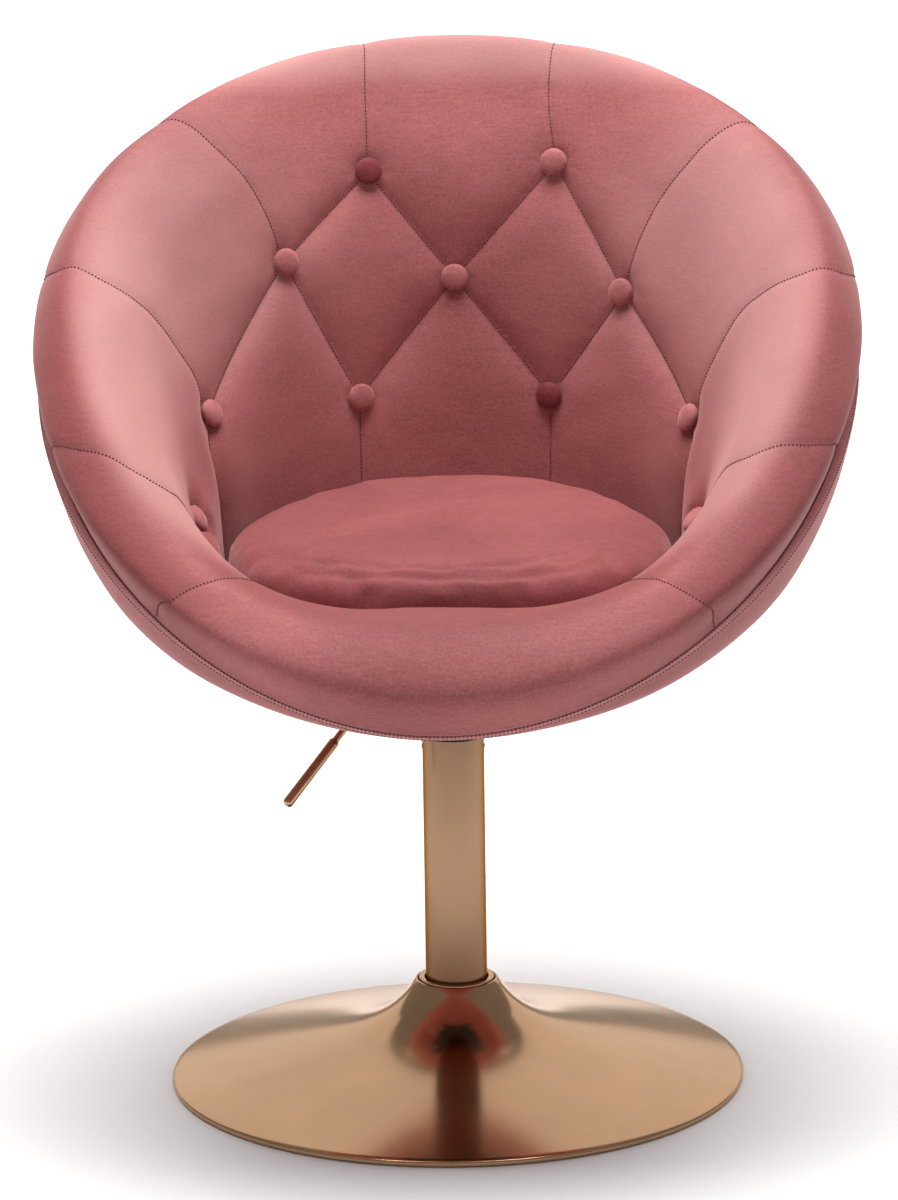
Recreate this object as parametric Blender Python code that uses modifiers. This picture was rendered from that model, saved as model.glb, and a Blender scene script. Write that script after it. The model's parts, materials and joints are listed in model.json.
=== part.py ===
"""Swivel styling chair: a tufted velvet bowl on a gas lift, with a trumpet base.

Metres, +Z up. The origin is on the floor, on the column's axis. The sitter faces -Y.
The seat is at its lowest height, and the lever is released.
"""

import math

import bmesh
import bpy
from mathutils import Matrix, Vector

# ---- driving dimensions -------------------------------------------------
GAP = 0.0003  # clearance between pieces that touch on the real chair
STEPS = 32  # facets round a turned piece

BASE_RADIUS = 0.2375
BASE_SHEET = 0.002
RIM_HEIGHT = 0.0012  # underside of the base cover's rim
DOME_EDGE, DOME_RISE, DOME_POWER = 0.005, 0.047, 1.2  # the base's low dome: its edge height, rise and fullness
FLARE_LENGTH = 0.024  # the neck's flare falls to the dome by 1/e over this radius
NECK_RADIUS = 0.0345
NECK_HEIGHT = 0.0835
WEIGHT_TOP = 0.032
WEIGHT_RADIUS = 0.205

COLUMN_RADIUS = 0.0254
COLUMN_WALL = 0.0018
COLUMN_TOP = 0.2915
BUSH_LENGTH = 0.0575
BUSH_SCREW_HEIGHT = 0.2815

PLUG_TOP = 0.050
BEARING_TOP = 0.0579
BALLS, BALL_RADIUS, BALL_PITCH = 8, 0.0020, 0.0097
ROD_RADIUS = 0.005
CYLINDER_RADIUS = 0.014
CYLINDER_BORE = 0.012
CYLINDER_FOOT = 0.0655
CYLINDER_TOP = 0.320
TAPER_START = 0.289
TAPER_DROP = 0.0008  # how much thinner the tapered end is than the cylinder
PIN_RADIUS = 0.0027
PIN_TOP = 0.3262

PAN_FLOOR = 0.308
PAN_TOP = 0.340
PAN_SHEET = 0.0025
PAN_HALF_X, PAN_HALF_Y = 0.056, 0.065
PAN_FLANGE = 0.020
BOLT_X, BOLT_Y = 0.066, 0.055
BOLT_RADIUS = 0.0028
BOLT_HOLE = 0.0033

LEVER_RADIUS = 0.003
LEVER_HEIGHT = 0.3297
LEVER_PIVOT_X = -0.035
LEVER_BEND = (-0.0625, 0.0, LEVER_HEIGHT)
GRIP_START = (-0.096, -0.020, 0.2915)
GRIP_END = (-0.135, -0.055, 0.2469)
GRIP_RADIUS = 0.0044
HUB_RADIUS = 0.006
PIVOT_RADIUS = 0.0025

SHELL_THICK = 0.008
SHELL_FLOOR = PAN_TOP + GAP
BOARD_THICK = 0.012
BOARD_RADIUS = 0.108
FOAM_FLOOR, FOAM_TOP = 0.3630, 0.4040
CUSHION_FLOOR, CUSHION_TOP = 0.4050, 0.4740
CUSHION_RADIUS = 0.183
BUTTON_RADIUS, BUTTON_HEIGHT, BUTTON_STAND_OFF = 0.0115, 0.0070, 0.0025
BINDING_WIDTH, BINDING_THICK, BINDING_STAND_OFF = 0.013, 0.0012, 0.0013

# The bowl is lofted through closed rings. Each ring is (reach, height) at the front, the sides and the back.
INNER_RINGS = {
    "seam": ((0.294, 0.366), (0.324, 0.609), (0.312, 0.795)),
    "bulge": ((0.316, 0.402), (0.331, 0.644), (0.317, 0.813)),
    "crest": ((0.288, 0.439), (0.298, 0.670), (0.292, 0.831)),
    "shoulder": ((0.254, 0.450), (0.259, 0.610), (0.270, 0.788)),
    "button_line": ((0.216, 0.441), (0.215, 0.501), (0.248, 0.722)),
    "wall": ((0.203, 0.424), (0.199, 0.470), (0.228, 0.600)),
    "foot": ((0.196, 0.404), (0.193, 0.412), (0.201, 0.425)),
}
OUTER_RINGS = {
    "seam": INNER_RINGS["seam"],
    "flank": ((0.278, 0.359), (0.331, 0.582), (0.320, 0.744)),
    "belly": ((0.260, 0.354), (0.302, 0.494), (0.310, 0.620)),
    "haunch": ((0.202, 0.343), (0.238, 0.415), (0.271, 0.479)),
    "heel": ((0.150, 0.3405), (0.160, 0.352), (0.190, 0.370)),
    "floor": ((0.118, SHELL_FLOOR), (0.118, SHELL_FLOOR), (0.118, SHELL_FLOOR)),
}
FRONT_CORNER = 0.007  # the outer rings are this much fuller at the two front corners
FULL_RINGS = ("seam", "bulge", "flank", "belly", "haunch")
FRONT_DIP = 0.018  # and the lip is this much lower there
LOW_RINGS = ("crest", "shoulder", "button_line")
RING_SIDES = 36
SPAN_CUTS = 2  # section points in each span between two rings

# Tufting buttons: the angle from the back in degrees, and the place along the section, in rings from the seam.
# They are set by hand, so the two sides differ a little.
BUTTON_ROWS = (
    ((-17, 3.84), (20, 3.70)),
    ((-37, 4.10), (0, 4.77), (38.5, 4.36)),
    ((-68, 4.27), (-22, 5.34), (22, 5.34), (68, 4.42)),
    ((-96, 4.20), (95, 4.60)),
)

# name: colour, metallic, roughness
FINISHES = {
    "velvet": ((0.60, 0.25, 0.26), 0.0, 0.85),
    "rose_gold": ((0.72, 0.44, 0.30), 1.0, 0.28),
    "zinc_steel": ((0.62, 0.62, 0.60), 1.0, 0.35),
    "black_steel": ((0.03, 0.03, 0.03), 0.4, 0.45),
    "cast_iron": ((0.09, 0.09, 0.09), 0.6, 0.70),
    "nylon": ((0.04, 0.04, 0.04), 0.0, 0.50),
    "rubber": ((0.02, 0.02, 0.02), 0.0, 0.80),
    "plywood": ((0.62, 0.45, 0.27), 0.0, 0.65),
    "foam": ((0.80, 0.76, 0.62), 0.0, 0.95),
}


# ---- scene helpers ------------------------------------------------------
def clear_scene():
    for obj in list(bpy.data.objects):
        bpy.data.objects.remove(obj)


def new_collection(name):
    collection = bpy.data.collections.new(name)
    bpy.context.scene.collection.children.link(collection)
    return collection


def make_materials():
    made = {}
    for name, (colour, metallic, roughness) in FINISHES.items():
        material = bpy.data.materials.new(name)
        material.use_nodes = True
        shader = material.node_tree.nodes["Principled BSDF"]
        shader.inputs["Base Color"].default_value = (*colour, 1.0)
        shader.inputs["Metallic"].default_value = metallic
        shader.inputs["Roughness"].default_value = roughness
        made[name] = material
    return made


def empty_at(name, place=(0.0, 0.0, 0.0)):
    empty = bpy.data.objects.new(name, None)
    CHAIR.objects.link(empty)
    empty.location = place
    bpy.context.view_layer.update()
    return empty


def add_node(name, mesh, finish, body, at=(0.0, 0.0, 0.0)):
    """Links a mesh as one named piece of a body. Its place is in world coordinates."""
    if not mesh.materials:
        mesh.materials.append(MATERIALS[finish])
        mesh.shade_smooth()
        mesh.set_sharp_from_angle(angle=math.radians(35.0))
    obj = bpy.data.objects.new(name, mesh)
    CHAIR.objects.link(obj)
    obj.parent = body
    obj.matrix_parent_inverse = body.matrix_world.inverted()
    obj.location = at
    return obj


def add_cutter(name, mesh):
    obj = bpy.data.objects.new(name, mesh)
    CUTTERS.objects.link(obj)
    obj.hide_render = True
    obj.display_type = "WIRE"
    return obj


def cut(obj, cutter):
    modifier = obj.modifiers.new("cut", "BOOLEAN")
    modifier.operation = "DIFFERENCE"
    modifier.object = cutter
    return obj


# ---- mesh makers --------------------------------------------------------
def mesh_from(name, build):
    """A mesh from a function that fills a bmesh, with its normals facing out."""
    bm = bmesh.new()
    build(bm)
    bmesh.ops.recalc_face_normals(bm, faces=bm.faces)
    mesh = bpy.data.meshes.new(name)
    bm.to_mesh(mesh)
    bm.free()
    return mesh


def profile_mesh(name, points, closed):
    """A profile in the XZ plane. It runs down its outer side, as Screw needs."""
    count = len(points)
    edges = [(i, i + 1) for i in range(count - 1)]
    if closed:
        edges.append((count - 1, 0))
    mesh = bpy.data.meshes.new(name)
    mesh.from_pydata([(radius, 0.0, height) for radius, height in points], edges, [])
    return mesh


def turned(name, points, finish, body, closed=True, steps=STEPS, at=(0.0, 0.0, 0.0)):
    """A turned piece about its Z axis: a ring where the profile is closed, else one that meets the axis."""
    obj = add_node(name, profile_mesh(name, points, closed), finish, body, at)
    screw = obj.modifiers.new("turn", "SCREW")
    screw.steps = screw.render_steps = steps
    screw.use_merge_vertices = True
    screw.merge_threshold = 0.00005
    screw.use_smooth_shade = True
    return obj


def ring_profile(inner, outer, low, high):
    """The closed profile of a plain ring."""
    return [(outer, high), (outer, low), (inner, low), (inner, high)]


def cylinder_into(bm, radius, start, end, sides=24, end_radius=None):
    start, end = Vector(start), Vector(end)
    axis = end - start
    place = Matrix.Translation((start + end) / 2) @ axis.to_track_quat("Z", "Y").to_matrix().to_4x4()
    bmesh.ops.create_cone(
        bm,
        cap_ends=True,
        segments=sides,
        radius1=radius,
        radius2=radius if end_radius is None else end_radius,
        depth=axis.length,
        matrix=place,
    )


def box_into(bm, low, high):
    low, high = Vector(low), Vector(high)
    size = high - low
    place = Matrix.Translation((low + high) / 2) @ Matrix.Diagonal((*size, 1.0))
    bmesh.ops.create_cube(bm, size=1.0, matrix=place)


def cylinder_mesh(name, radius, start, end, sides=24):
    return mesh_from(name, lambda bm: cylinder_into(bm, radius, start, end, sides))


def evaluated_mesh(obj):
    bpy.context.view_layer.update()
    graph = bpy.context.evaluated_depsgraph_get()
    return bpy.data.meshes.new_from_object(obj.evaluated_get(graph))


def joined_mesh(first, second):
    """One closed mesh from two that overlap."""
    main, other = add_cutter("join_first", first), add_cutter("join_second", second)
    modifier = main.modifiers.new("join", "BOOLEAN")
    modifier.operation = "UNION"
    modifier.object = other
    mesh = evaluated_mesh(main)
    mesh.name = first.name
    bpy.data.objects.remove(main)
    bpy.data.objects.remove(other)
    return mesh


def hex_bolt_mesh(name, head_radius, head_height, shank_radius, length):
    """A hexagon bolt standing on its head, with its head's top face at the origin."""
    head = cylinder_mesh(name, head_radius, (0, 0, -head_height), (0, 0, 0), 6)
    shank = cylinder_mesh(name + "_shank", shank_radius, (0, 0, -head_height / 2), (0, 0, length), 16)
    return joined_mesh(head, shank)


# ---- the bowl's surface -------------------------------------------------
def around(front, side, back, angle):
    """A smooth value round the bowl. angle is 0 at the front and 180 degrees at the back."""
    swing = (front - back) / 2
    mean = (front + back) / 2
    level = (mean + side) / 2
    return level + swing * math.cos(angle) + (mean - level) * math.cos(2 * angle)


def ring_point(rings, name, angle):
    """(reach, height) of a ring at an angle."""
    (r0, z0), (r1, z1), (r2, z2) = rings[name]
    reach = around(r0, r1, r2, angle)
    height = around(z0, z1, z2, angle)
    corner = math.sin(2 * angle) ** 2 * (1 + math.cos(angle)) / 2
    if name in FULL_RINGS:
        reach += FRONT_CORNER * corner
    if name in LOW_RINGS:
        height -= FRONT_DIP * corner
    return Vector((reach, height))


def spline(points, place):
    """Catmull-Rom through the points; place counts them from 0."""
    last = len(points) - 1
    i = min(int(place), last - 1)
    u = place - i
    p1, p2 = points[i], points[i + 1]
    p0 = points[i - 1] if i else 2 * p1 - p2
    p3 = points[i + 2] if i + 2 <= last else 2 * p2 - p1
    cubic = (3 * p1 - p0 - 3 * p2 + p3) * u**3
    square = (2 * p0 - 5 * p1 + 4 * p2 - p3) * u**2
    return (2 * p1 + (p2 - p0) * u + square + cubic) / 2


def section(rings, angle, names=None, cuts=SPAN_CUTS):
    """The bowl's section at an angle, as (reach, height) points from the seam on."""
    points = [ring_point(rings, name, angle) for name in (names or rings)]
    count = (len(points) - 1) * cuts
    return [spline(points, i / cuts) for i in range(count + 1)]


def inward(points, distance):
    """The section moved into the bowl, square to itself."""
    moved = []
    for i, point in enumerate(points):
        run = points[min(i + 1, len(points) - 1)] - points[max(i - 1, 0)]
        moved.append(point + Vector((run.y, -run.x)).normalized() * distance)
    return moved


def in_space(point, angle):
    return Vector((point.x * math.sin(angle), -point.x * math.cos(angle), point.y))


def ring_angles():
    return [2 * math.pi * i / RING_SIDES for i in range(RING_SIDES)]


def loft(name, section_at, closed):
    """Joins the sections round the bowl. A closed section makes a ring; an open one is capped at both ends."""

    def build(bm):
        columns = [[bm.verts.new(in_space(p, a)) for p in section_at(a)] for a in ring_angles()]
        count = len(columns[0])
        for i, column in enumerate(columns):
            other = columns[(i + 1) % len(columns)]
            for j in range(count if closed else count - 1):
                k = (j + 1) % count
                bm.faces.new((column[j], other[j], other[k], column[k]))
        if not closed:
            bm.faces.new([column[0] for column in columns])
            bm.faces.new([column[-1] for column in columns])

    return mesh_from(name, build)


def edge_direction(angle):
    """Along the shell at its upper edge, pointing off the edge."""
    points = section(OUTER_RINGS, angle)
    return (points[0] - points[1]).normalized()


def shell_section(angle):
    outer = section(OUTER_RINGS, angle)
    outer[-1].y = SHELL_FLOOR
    inner = inward(outer, SHELL_THICK)
    inner[-1].y = SHELL_FLOOR + SHELL_THICK
    return list(reversed(inner)) + outer


def upholstery_section(angle):
    """The padding: over the shell's edge, down the visible face, and back up the inside of the shell."""
    lift = edge_direction(angle) * 0.0015
    face = section(INNER_RINGS, angle)
    face[0] = face[0] + lift
    outer = section(OUTER_RINGS, angle, list(OUTER_RINGS)[:-1])
    back = list(reversed(inward(outer, SHELL_THICK + 0.001)))
    corner = back[-1] + lift
    return face + back[:-1] + [corner]


def along(points, distance):
    """The point this far along a run of points."""
    for before, after in zip(points, points[1:]):
        step = (after - before).length
        if step >= distance:
            return before.lerp(after, distance / step)
        distance -= step
    return points[-1]


def binding_section(angle):
    """The flat band that covers the top of the shell's outer face."""
    outer = section(OUTER_RINGS, angle)
    span = [along(outer, BINDING_WIDTH * share) for share in (0.0, 0.5, 1.0)]
    near = inward(span, -BINDING_STAND_OFF)
    far = inward(span, -BINDING_STAND_OFF - BINDING_THICK)
    return near + list(reversed(far))


def surface_frame(angle, place):
    """A point on the bowl's inner face, and the face's normal there."""

    def at(a, s):
        points = [ring_point(INNER_RINGS, name, a) for name in INNER_RINGS]
        return in_space(spline(points, s), a)

    step = 0.01
    point = at(angle, place)
    across = at(angle + step, place) - at(angle - step, place)
    down = at(angle, place + step) - at(angle, place - step)
    normal = across.cross(down).normalized()
    to_middle = Vector((0.0, 0.0, point.z)) - point
    return point, normal if normal.dot(to_middle) > 0 else -normal


# ---- the base -----------------------------------------------------------
def dome_height(radius):
    return DOME_EDGE + DOME_RISE * (1 - (radius / BASE_RADIUS) ** DOME_POWER)


def flare_height(radius):
    """The base cover's height: a low dome, with an exponential flare up to the neck."""
    flare = NECK_HEIGHT - dome_height(NECK_RADIUS)
    return dome_height(radius) + flare * math.exp(-(radius - NECK_RADIUS) / FLARE_LENGTH)


def make_base(body):
    count = 9
    edge = BASE_RADIUS - 0.0015
    share = [(i / count) ** 1.35 for i in range(count + 1)]
    flare = [NECK_RADIUS + (edge - NECK_RADIUS) * s for s in share]
    profile = [(radius, flare_height(radius)) for radius in flare]
    profile += [(BASE_RADIUS, DOME_EDGE - 0.0012), (BASE_RADIUS, RIM_HEIGHT)]
    cover = turned("base_cover", profile, "rose_gold", body, closed=False)
    sheet = cover.modifiers.new("sheet", "SOLIDIFY")
    sheet.thickness = BASE_SHEET
    sheet.offset = -1.0
    sheet.use_even_offset = True

    low, high = 0.0033, 0.0075
    weight = [
        (0.0066, WEIGHT_TOP), (0.060, WEIGHT_TOP), (0.110, high), (WEIGHT_RADIUS, high),
        (WEIGHT_RADIUS, low), (0.106, low), (0.058, WEIGHT_TOP - 0.004), (0.0066, WEIGHT_TOP - 0.004),
    ]
    turned("base_weight", weight, "cast_iron", body)
    turned("floor_ring", ring_profile(0.190, BASE_RADIUS - 0.0045, 0.0, 0.003), "rubber", body)

    bore = COLUMN_RADIUS + 0.0009
    outer = NECK_RADIUS - BASE_SHEET - 0.0006
    neck = [
        (outer - 0.0012, NECK_HEIGHT + 0.0020), (outer, NECK_HEIGHT + 0.0004), (outer, NECK_HEIGHT - 0.010),
        (bore, NECK_HEIGHT - 0.010), (bore, NECK_HEIGHT + 0.0012), (bore + 0.0010, NECK_HEIGHT + 0.0020),
    ]
    turned("neck_ring", neck, "rose_gold", body)

    washer_top = WEIGHT_TOP - 0.004 - GAP
    turned("base_washer", ring_profile(0.0065, 0.018, washer_top - 0.0024, washer_top), "zinc_steel", body)
    head_top = washer_top - 0.0024 - GAP

    bolt = hex_bolt_mesh("base_bolt", 0.0105, 0.0075, 0.0060, 0.0405 - head_top)
    add_node("base_bolt", bolt, "zinc_steel", body, (0, 0, head_top))


def make_column(body):
    wall = COLUMN_RADIUS - COLUMN_WALL
    foot = WEIGHT_TOP + GAP
    tube_profile = [
        (COLUMN_RADIUS - 0.0005, COLUMN_TOP), (COLUMN_RADIUS, COLUMN_TOP - 0.0005), (COLUMN_RADIUS, foot),
        (wall, foot), (wall, COLUMN_TOP),
    ]
    tube = turned("column_tube", tube_profile, "rose_gold", body)

    plug = [
        (wall - GAP, PLUG_TOP), (wall - GAP, foot), (0.0063, foot), (0.0063, 0.042),
        (0.0095, 0.042), (0.0095, PLUG_TOP),
    ]
    turned("column_plug", plug, "zinc_steel", body)

    bush_foot = COLUMN_TOP - BUSH_LENGTH
    flange = COLUMN_TOP + GAP
    bore = CYLINDER_RADIUS + GAP
    bush_profile = [
        (COLUMN_RADIUS - 0.0006, flange + 0.0018), (COLUMN_RADIUS - 0.0006, flange), (wall - GAP, flange),
        (wall - GAP, bush_foot), (bore, bush_foot), (bore, flange + 0.0018),
    ]
    bush = turned("guide_bush", bush_profile, "nylon", body)

    def screw_holes(bm):
        for side in (-1, 1):
            start = (side * 0.0185, 0, BUSH_SCREW_HEIGHT)
            cylinder_into(bm, 0.0024, start, (side * 0.030, 0, BUSH_SCREW_HEIGHT), 16)

    holes = add_cutter("bush_screw_holes", mesh_from("bush_screw_holes", screw_holes))
    cut(tube, holes)
    cut(bush, holes)

    screw = cylinder_mesh("bush_screw", 0.0020, (0.0192, 0, 0), (COLUMN_RADIUS + 0.0006, 0, 0), 16)
    for number in (1, 2):
        piece = add_node(f"bush_screw_{number}", screw, "zinc_steel", body, (0, 0, BUSH_SCREW_HEIGHT))
        piece.rotation_euler.z = math.pi * number

    race_low = PLUG_TOP + GAP
    turned("thrust_race_lower", ring_profile(0.0062, 0.0130, race_low, race_low + 0.0015), "zinc_steel", body, steps=20)

    middle = race_low + 0.0015 + BALL_RADIUS + GAP

    def balls(bm):
        for i in range(BALLS):
            turn = 2 * math.pi * i / BALLS
            place = (BALL_PITCH * math.cos(turn), BALL_PITCH * math.sin(turn), middle)
            bmesh.ops.create_icosphere(bm, subdivisions=1, radius=BALL_RADIUS, matrix=Matrix.Translation(place))

    def cage(bm):
        cylinder_into(bm, BALL_PITCH + 0.0024, (0, 0, middle - 0.0007), (0, 0, middle + 0.0007), 32)

    caged = joined_mesh(mesh_from("thrust_ball_cage", cage), mesh_from("thrust_balls", balls))
    piece = add_node("thrust_ball_cage", caged, "zinc_steel", body)
    hole = cylinder_mesh("cage_hole", 0.0070, (0, 0, middle - 0.01), (0, 0, middle + 0.01), 32)
    cut(piece, add_cutter("cage_hole", hole))


# ---- the gas lift -------------------------------------------------------
def cylinder_outside(height):
    """The cylinder's outer radius, with its tapered upper end."""
    share = max(0.0, (height - TAPER_START) / (CYLINDER_TOP - TAPER_START))
    return CYLINDER_RADIUS - TAPER_DROP * share


def make_spindle(body):
    race_high = BEARING_TOP - 0.0013
    turned("thrust_race_upper", ring_profile(0.0044, 0.0130, race_high, BEARING_TOP), "zinc_steel", body, steps=20)
    shoulder = BEARING_TOP + GAP
    rod = [(0.0, 0.2617), (ROD_RADIUS, 0.2617), (ROD_RADIUS, shoulder), (0.0040, shoulder), (0.0040, 0.0445), (0.0, 0.0445)]
    turned("piston_rod", rod, "zinc_steel", body, closed=False, steps=20)
    turned("rod_clip", ring_profile(0.0043, 0.0078, 0.0462, 0.0474), "zinc_steel", body, steps=20)
    turned("bump_stop", ring_profile(ROD_RADIUS + GAP, 0.0115, shoulder + GAP, 0.0646), "rubber", body, steps=20)
    piston = [(0.0, 0.2740), (0.0115, 0.2740), (0.0115, 0.2620), (0.0, 0.2620)]
    turned("piston_head", piston, "nylon", body, closed=False, steps=20)


def make_cylinder(body):
    top_bore = 0.0108
    profile = [
        (cylinder_outside(CYLINDER_TOP), CYLINDER_TOP), (CYLINDER_RADIUS, TAPER_START),
        (CYLINDER_RADIUS, CYLINDER_FOOT), (CYLINDER_BORE, CYLINDER_FOOT), (CYLINDER_BORE, 0.296),
        (top_bore, 0.2963), (top_bore, CYLINDER_TOP),
    ]
    turned("gas_cylinder", profile, "black_steel", body)
    gland = ring_profile(ROD_RADIUS + GAP, CYLINDER_BORE - GAP, CYLINDER_FOOT + 0.0005, 0.078)
    turned("cylinder_gland", gland, "nylon", body)
    valve = ring_profile(PIN_RADIUS + GAP, top_bore - GAP, 0.2985, CYLINDER_TOP + 0.0003)
    turned("valve_body", valve, "zinc_steel", body, steps=20)
    low, high = 0.295, CYLINDER_TOP
    fit = 0.0004
    socket = [
        (0.0190, high), (0.0190, low), (cylinder_outside(low) + fit, low), (cylinder_outside(high) + fit, high),
    ]
    turned("taper_socket", socket, "black_steel", body)


def make_release_pin(body):
    pin = [(0.0, PIN_TOP), (PIN_RADIUS - 0.0006, PIN_TOP), (PIN_RADIUS, PIN_TOP - 0.0006), (PIN_RADIUS, 0.2990), (0.0, 0.2990)]
    turned("release_pin", pin, "zinc_steel", body, closed=False, steps=20)


# ---- the seat mechanism -------------------------------------------------
def bolt_places():
    return [(x, y) for x in (-BOLT_X, BOLT_X) for y in (-BOLT_Y, BOLT_Y)]


def pan_surface(bm):
    """The pressed pan's underside: a flange, four walls and a floor, open above."""
    rings = []
    flange = PAN_TOP - PAN_SHEET
    for grow, height in ((PAN_FLANGE, flange), (0.0, flange), (0.0, PAN_FLOOR)):
        x, y = PAN_HALF_X + grow, PAN_HALF_Y + grow
        rings.append([bm.verts.new((cx, cy, height)) for cx, cy in ((x, y), (-x, y), (-x, -y), (x, -y))])
    for upper, lower in zip(rings, rings[1:]):
        for i in range(4):
            j = (i + 1) % 4
            bm.faces.new((upper[j], upper[i], lower[i], lower[j]))
    bm.faces.new(list(reversed(rings[-1])))


def runs_through_corner(edge):
    """True for the edges between neighbouring walls, and for the flange's mitres."""
    one, two = (v.co for v in edge.verts)
    upright = abs(one.z - two.z) > 0.01
    mitre = one.x * two.x > 0 and one.y * two.y > 0
    return upright or mitre


def pan_mesh():
    bm = bmesh.new()
    pan_surface(bm)
    corners = [e for e in bm.edges if runs_through_corner(e)]
    bmesh.ops.bevel(bm, geom=corners, offset=0.008, segments=3, affect="EDGES", profile=0.5)
    mesh = bpy.data.meshes.new("mechanism_pan")
    bm.to_mesh(mesh)
    bm.free()
    return mesh


def make_mechanism(body):
    pan = add_node("mechanism_pan", pan_mesh(), "black_steel", body)
    sheet = pan.modifiers.new("sheet", "SOLIDIFY")
    sheet.thickness = PAN_SHEET
    sheet.offset = -1.0
    sheet.use_even_offset = True
    socket_hole = cylinder_mesh("socket_hole", 0.0190 + GAP, (0, 0, 0.30), (0, 0, 0.325), STEPS)
    cut(pan, add_cutter("socket_hole", socket_hole))
    slot_low = (-PAN_HALF_X - 0.01, -0.007, LEVER_HEIGHT - 0.006)
    slot_high = (-PAN_HALF_X + 0.01, 0.007, LEVER_HEIGHT + 0.0065)
    slot = mesh_from("lever_slot", lambda bm: box_into(bm, slot_low, slot_high))
    cut(pan, add_cutter("lever_slot", slot))
    bolt_holes = hole_cutter("bolt_holes", BOLT_HOLE, 0.330, 0.370)
    cut(pan, bolt_holes)

    board_low = SHELL_FLOOR + SHELL_THICK + GAP
    board_high = board_low + BOARD_THICK
    disc = cylinder_mesh("seat_board", BOARD_RADIUS, (0, 0, board_low), (0, 0, board_high), STEPS)
    board = add_node("seat_board", disc, "plywood", body)
    cut(board, hole_cutter("nut_holes", 0.0049, board_low - 0.005, board_high + 0.005))
    make_fasteners(body, board_low + 0.0005, board_high + GAP)
    return bolt_holes


def hole_cutter(name, radius, low, high):
    """Upright holes at the four bolts."""

    def holes(bm):
        for x, y in bolt_places():
            cylinder_into(bm, radius, (x, y, low), (x, y, high), 16)

    return add_cutter(name, mesh_from(name, holes))


def make_fasteners(body, nut_low, nut_flange):
    """The four bolts that hold the pan to the seat board, and the T-nuts that they screw into."""
    head_top = PAN_TOP - PAN_SHEET - GAP
    bolt = hex_bolt_mesh("mechanism_bolt", 0.0055, 0.0040, BOLT_RADIUS, 0.358 - head_top)
    nut = [
        (0.0090, nut_flange + 0.0014), (0.0090, nut_flange), (0.0045, nut_flange), (0.0045, nut_low),
        (BOLT_RADIUS + GAP, nut_low), (BOLT_RADIUS + GAP, nut_flange + 0.0014),
    ]
    for number, (x, y) in enumerate(bolt_places(), 1):
        add_node(f"mechanism_bolt_{number}", bolt, "zinc_steel", body, (x, y, head_top))
        turned(f"t_nut_{number}", nut, "zinc_steel", body, steps=16, at=(x, y, 0))


def make_pivot(body):
    """The bracket and pin that the lever rocks on."""
    floor = PAN_FLOOR + PAN_SHEET + GAP
    x = LEVER_PIVOT_X

    def bracket(bm):
        box_into(bm, (x - 0.008, -0.0125, floor), (x + 0.008, 0.0125, LEVER_HEIGHT + 0.006))

    piece = add_node("pivot_bracket", mesh_from("pivot_bracket", bracket), "zinc_steel", body)
    channel = mesh_from(
        "bracket_channel", lambda b: box_into(b, (x - 0.02, -0.0100, floor + 0.002), (x + 0.02, 0.0100, LEVER_HEIGHT + 0.02))
    )
    cut(piece, add_cutter("bracket_channel", channel))
    bore = cylinder_mesh("bracket_bore", PIVOT_RADIUS + GAP, (x, -0.02, LEVER_HEIGHT), (x, 0.02, LEVER_HEIGHT))
    cut(piece, add_cutter("bracket_bore", bore))
    pin = cylinder_mesh("pivot_pin", PIVOT_RADIUS, (x, -0.0145, LEVER_HEIGHT), (x, 0.0145, LEVER_HEIGHT))
    add_node("pivot_pin", pin, "zinc_steel", body)


# ---- the lever ----------------------------------------------------------
def lever_route():
    """Level from the valve to the bend, then down to the grip along a smooth curve."""
    bend, start, end = Vector(LEVER_BEND), Vector(GRIP_START), Vector(GRIP_END)
    along = (end - start).normalized()
    inner = bend + Vector((0.006, 0, 0))
    outer = start - along * 0.006
    count = 9
    route = [Vector((0.0045, 0, LEVER_HEIGHT)), Vector((-0.02, 0, LEVER_HEIGHT)), Vector((-0.045, 0, LEVER_HEIGHT))]
    corner = (bend + start - along * 0.034) / 2
    for i in range(count + 1):
        t = i / count
        route.append(inner * (1 - t) ** 2 + corner * 2 * t * (1 - t) + outer * t**2)
    route.append(start + along * 0.045)
    return route


def tube_mesh(name, route, radius):
    """A round rod along a route, as a closed mesh."""
    curve = bpy.data.curves.new(name, "CURVE")
    curve.dimensions = "3D"
    curve.bevel_depth = radius
    curve.bevel_resolution = 2
    curve.use_fill_caps = True
    line = curve.splines.new("POLY")
    line.points.add(len(route) - 1)
    for point, place in zip(line.points, route):
        point.co = (*place, 1.0)
    holder = add_cutter(name + "_curve", curve)
    mesh = evaluated_mesh(holder)
    bpy.data.objects.remove(holder)
    bm = bmesh.new()
    bm.from_mesh(mesh)
    bmesh.ops.remove_doubles(bm, verts=bm.verts, dist=0.00001)
    bmesh.ops.recalc_face_normals(bm, faces=bm.faces)
    bm.to_mesh(mesh)
    bm.free()
    return mesh


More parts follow.
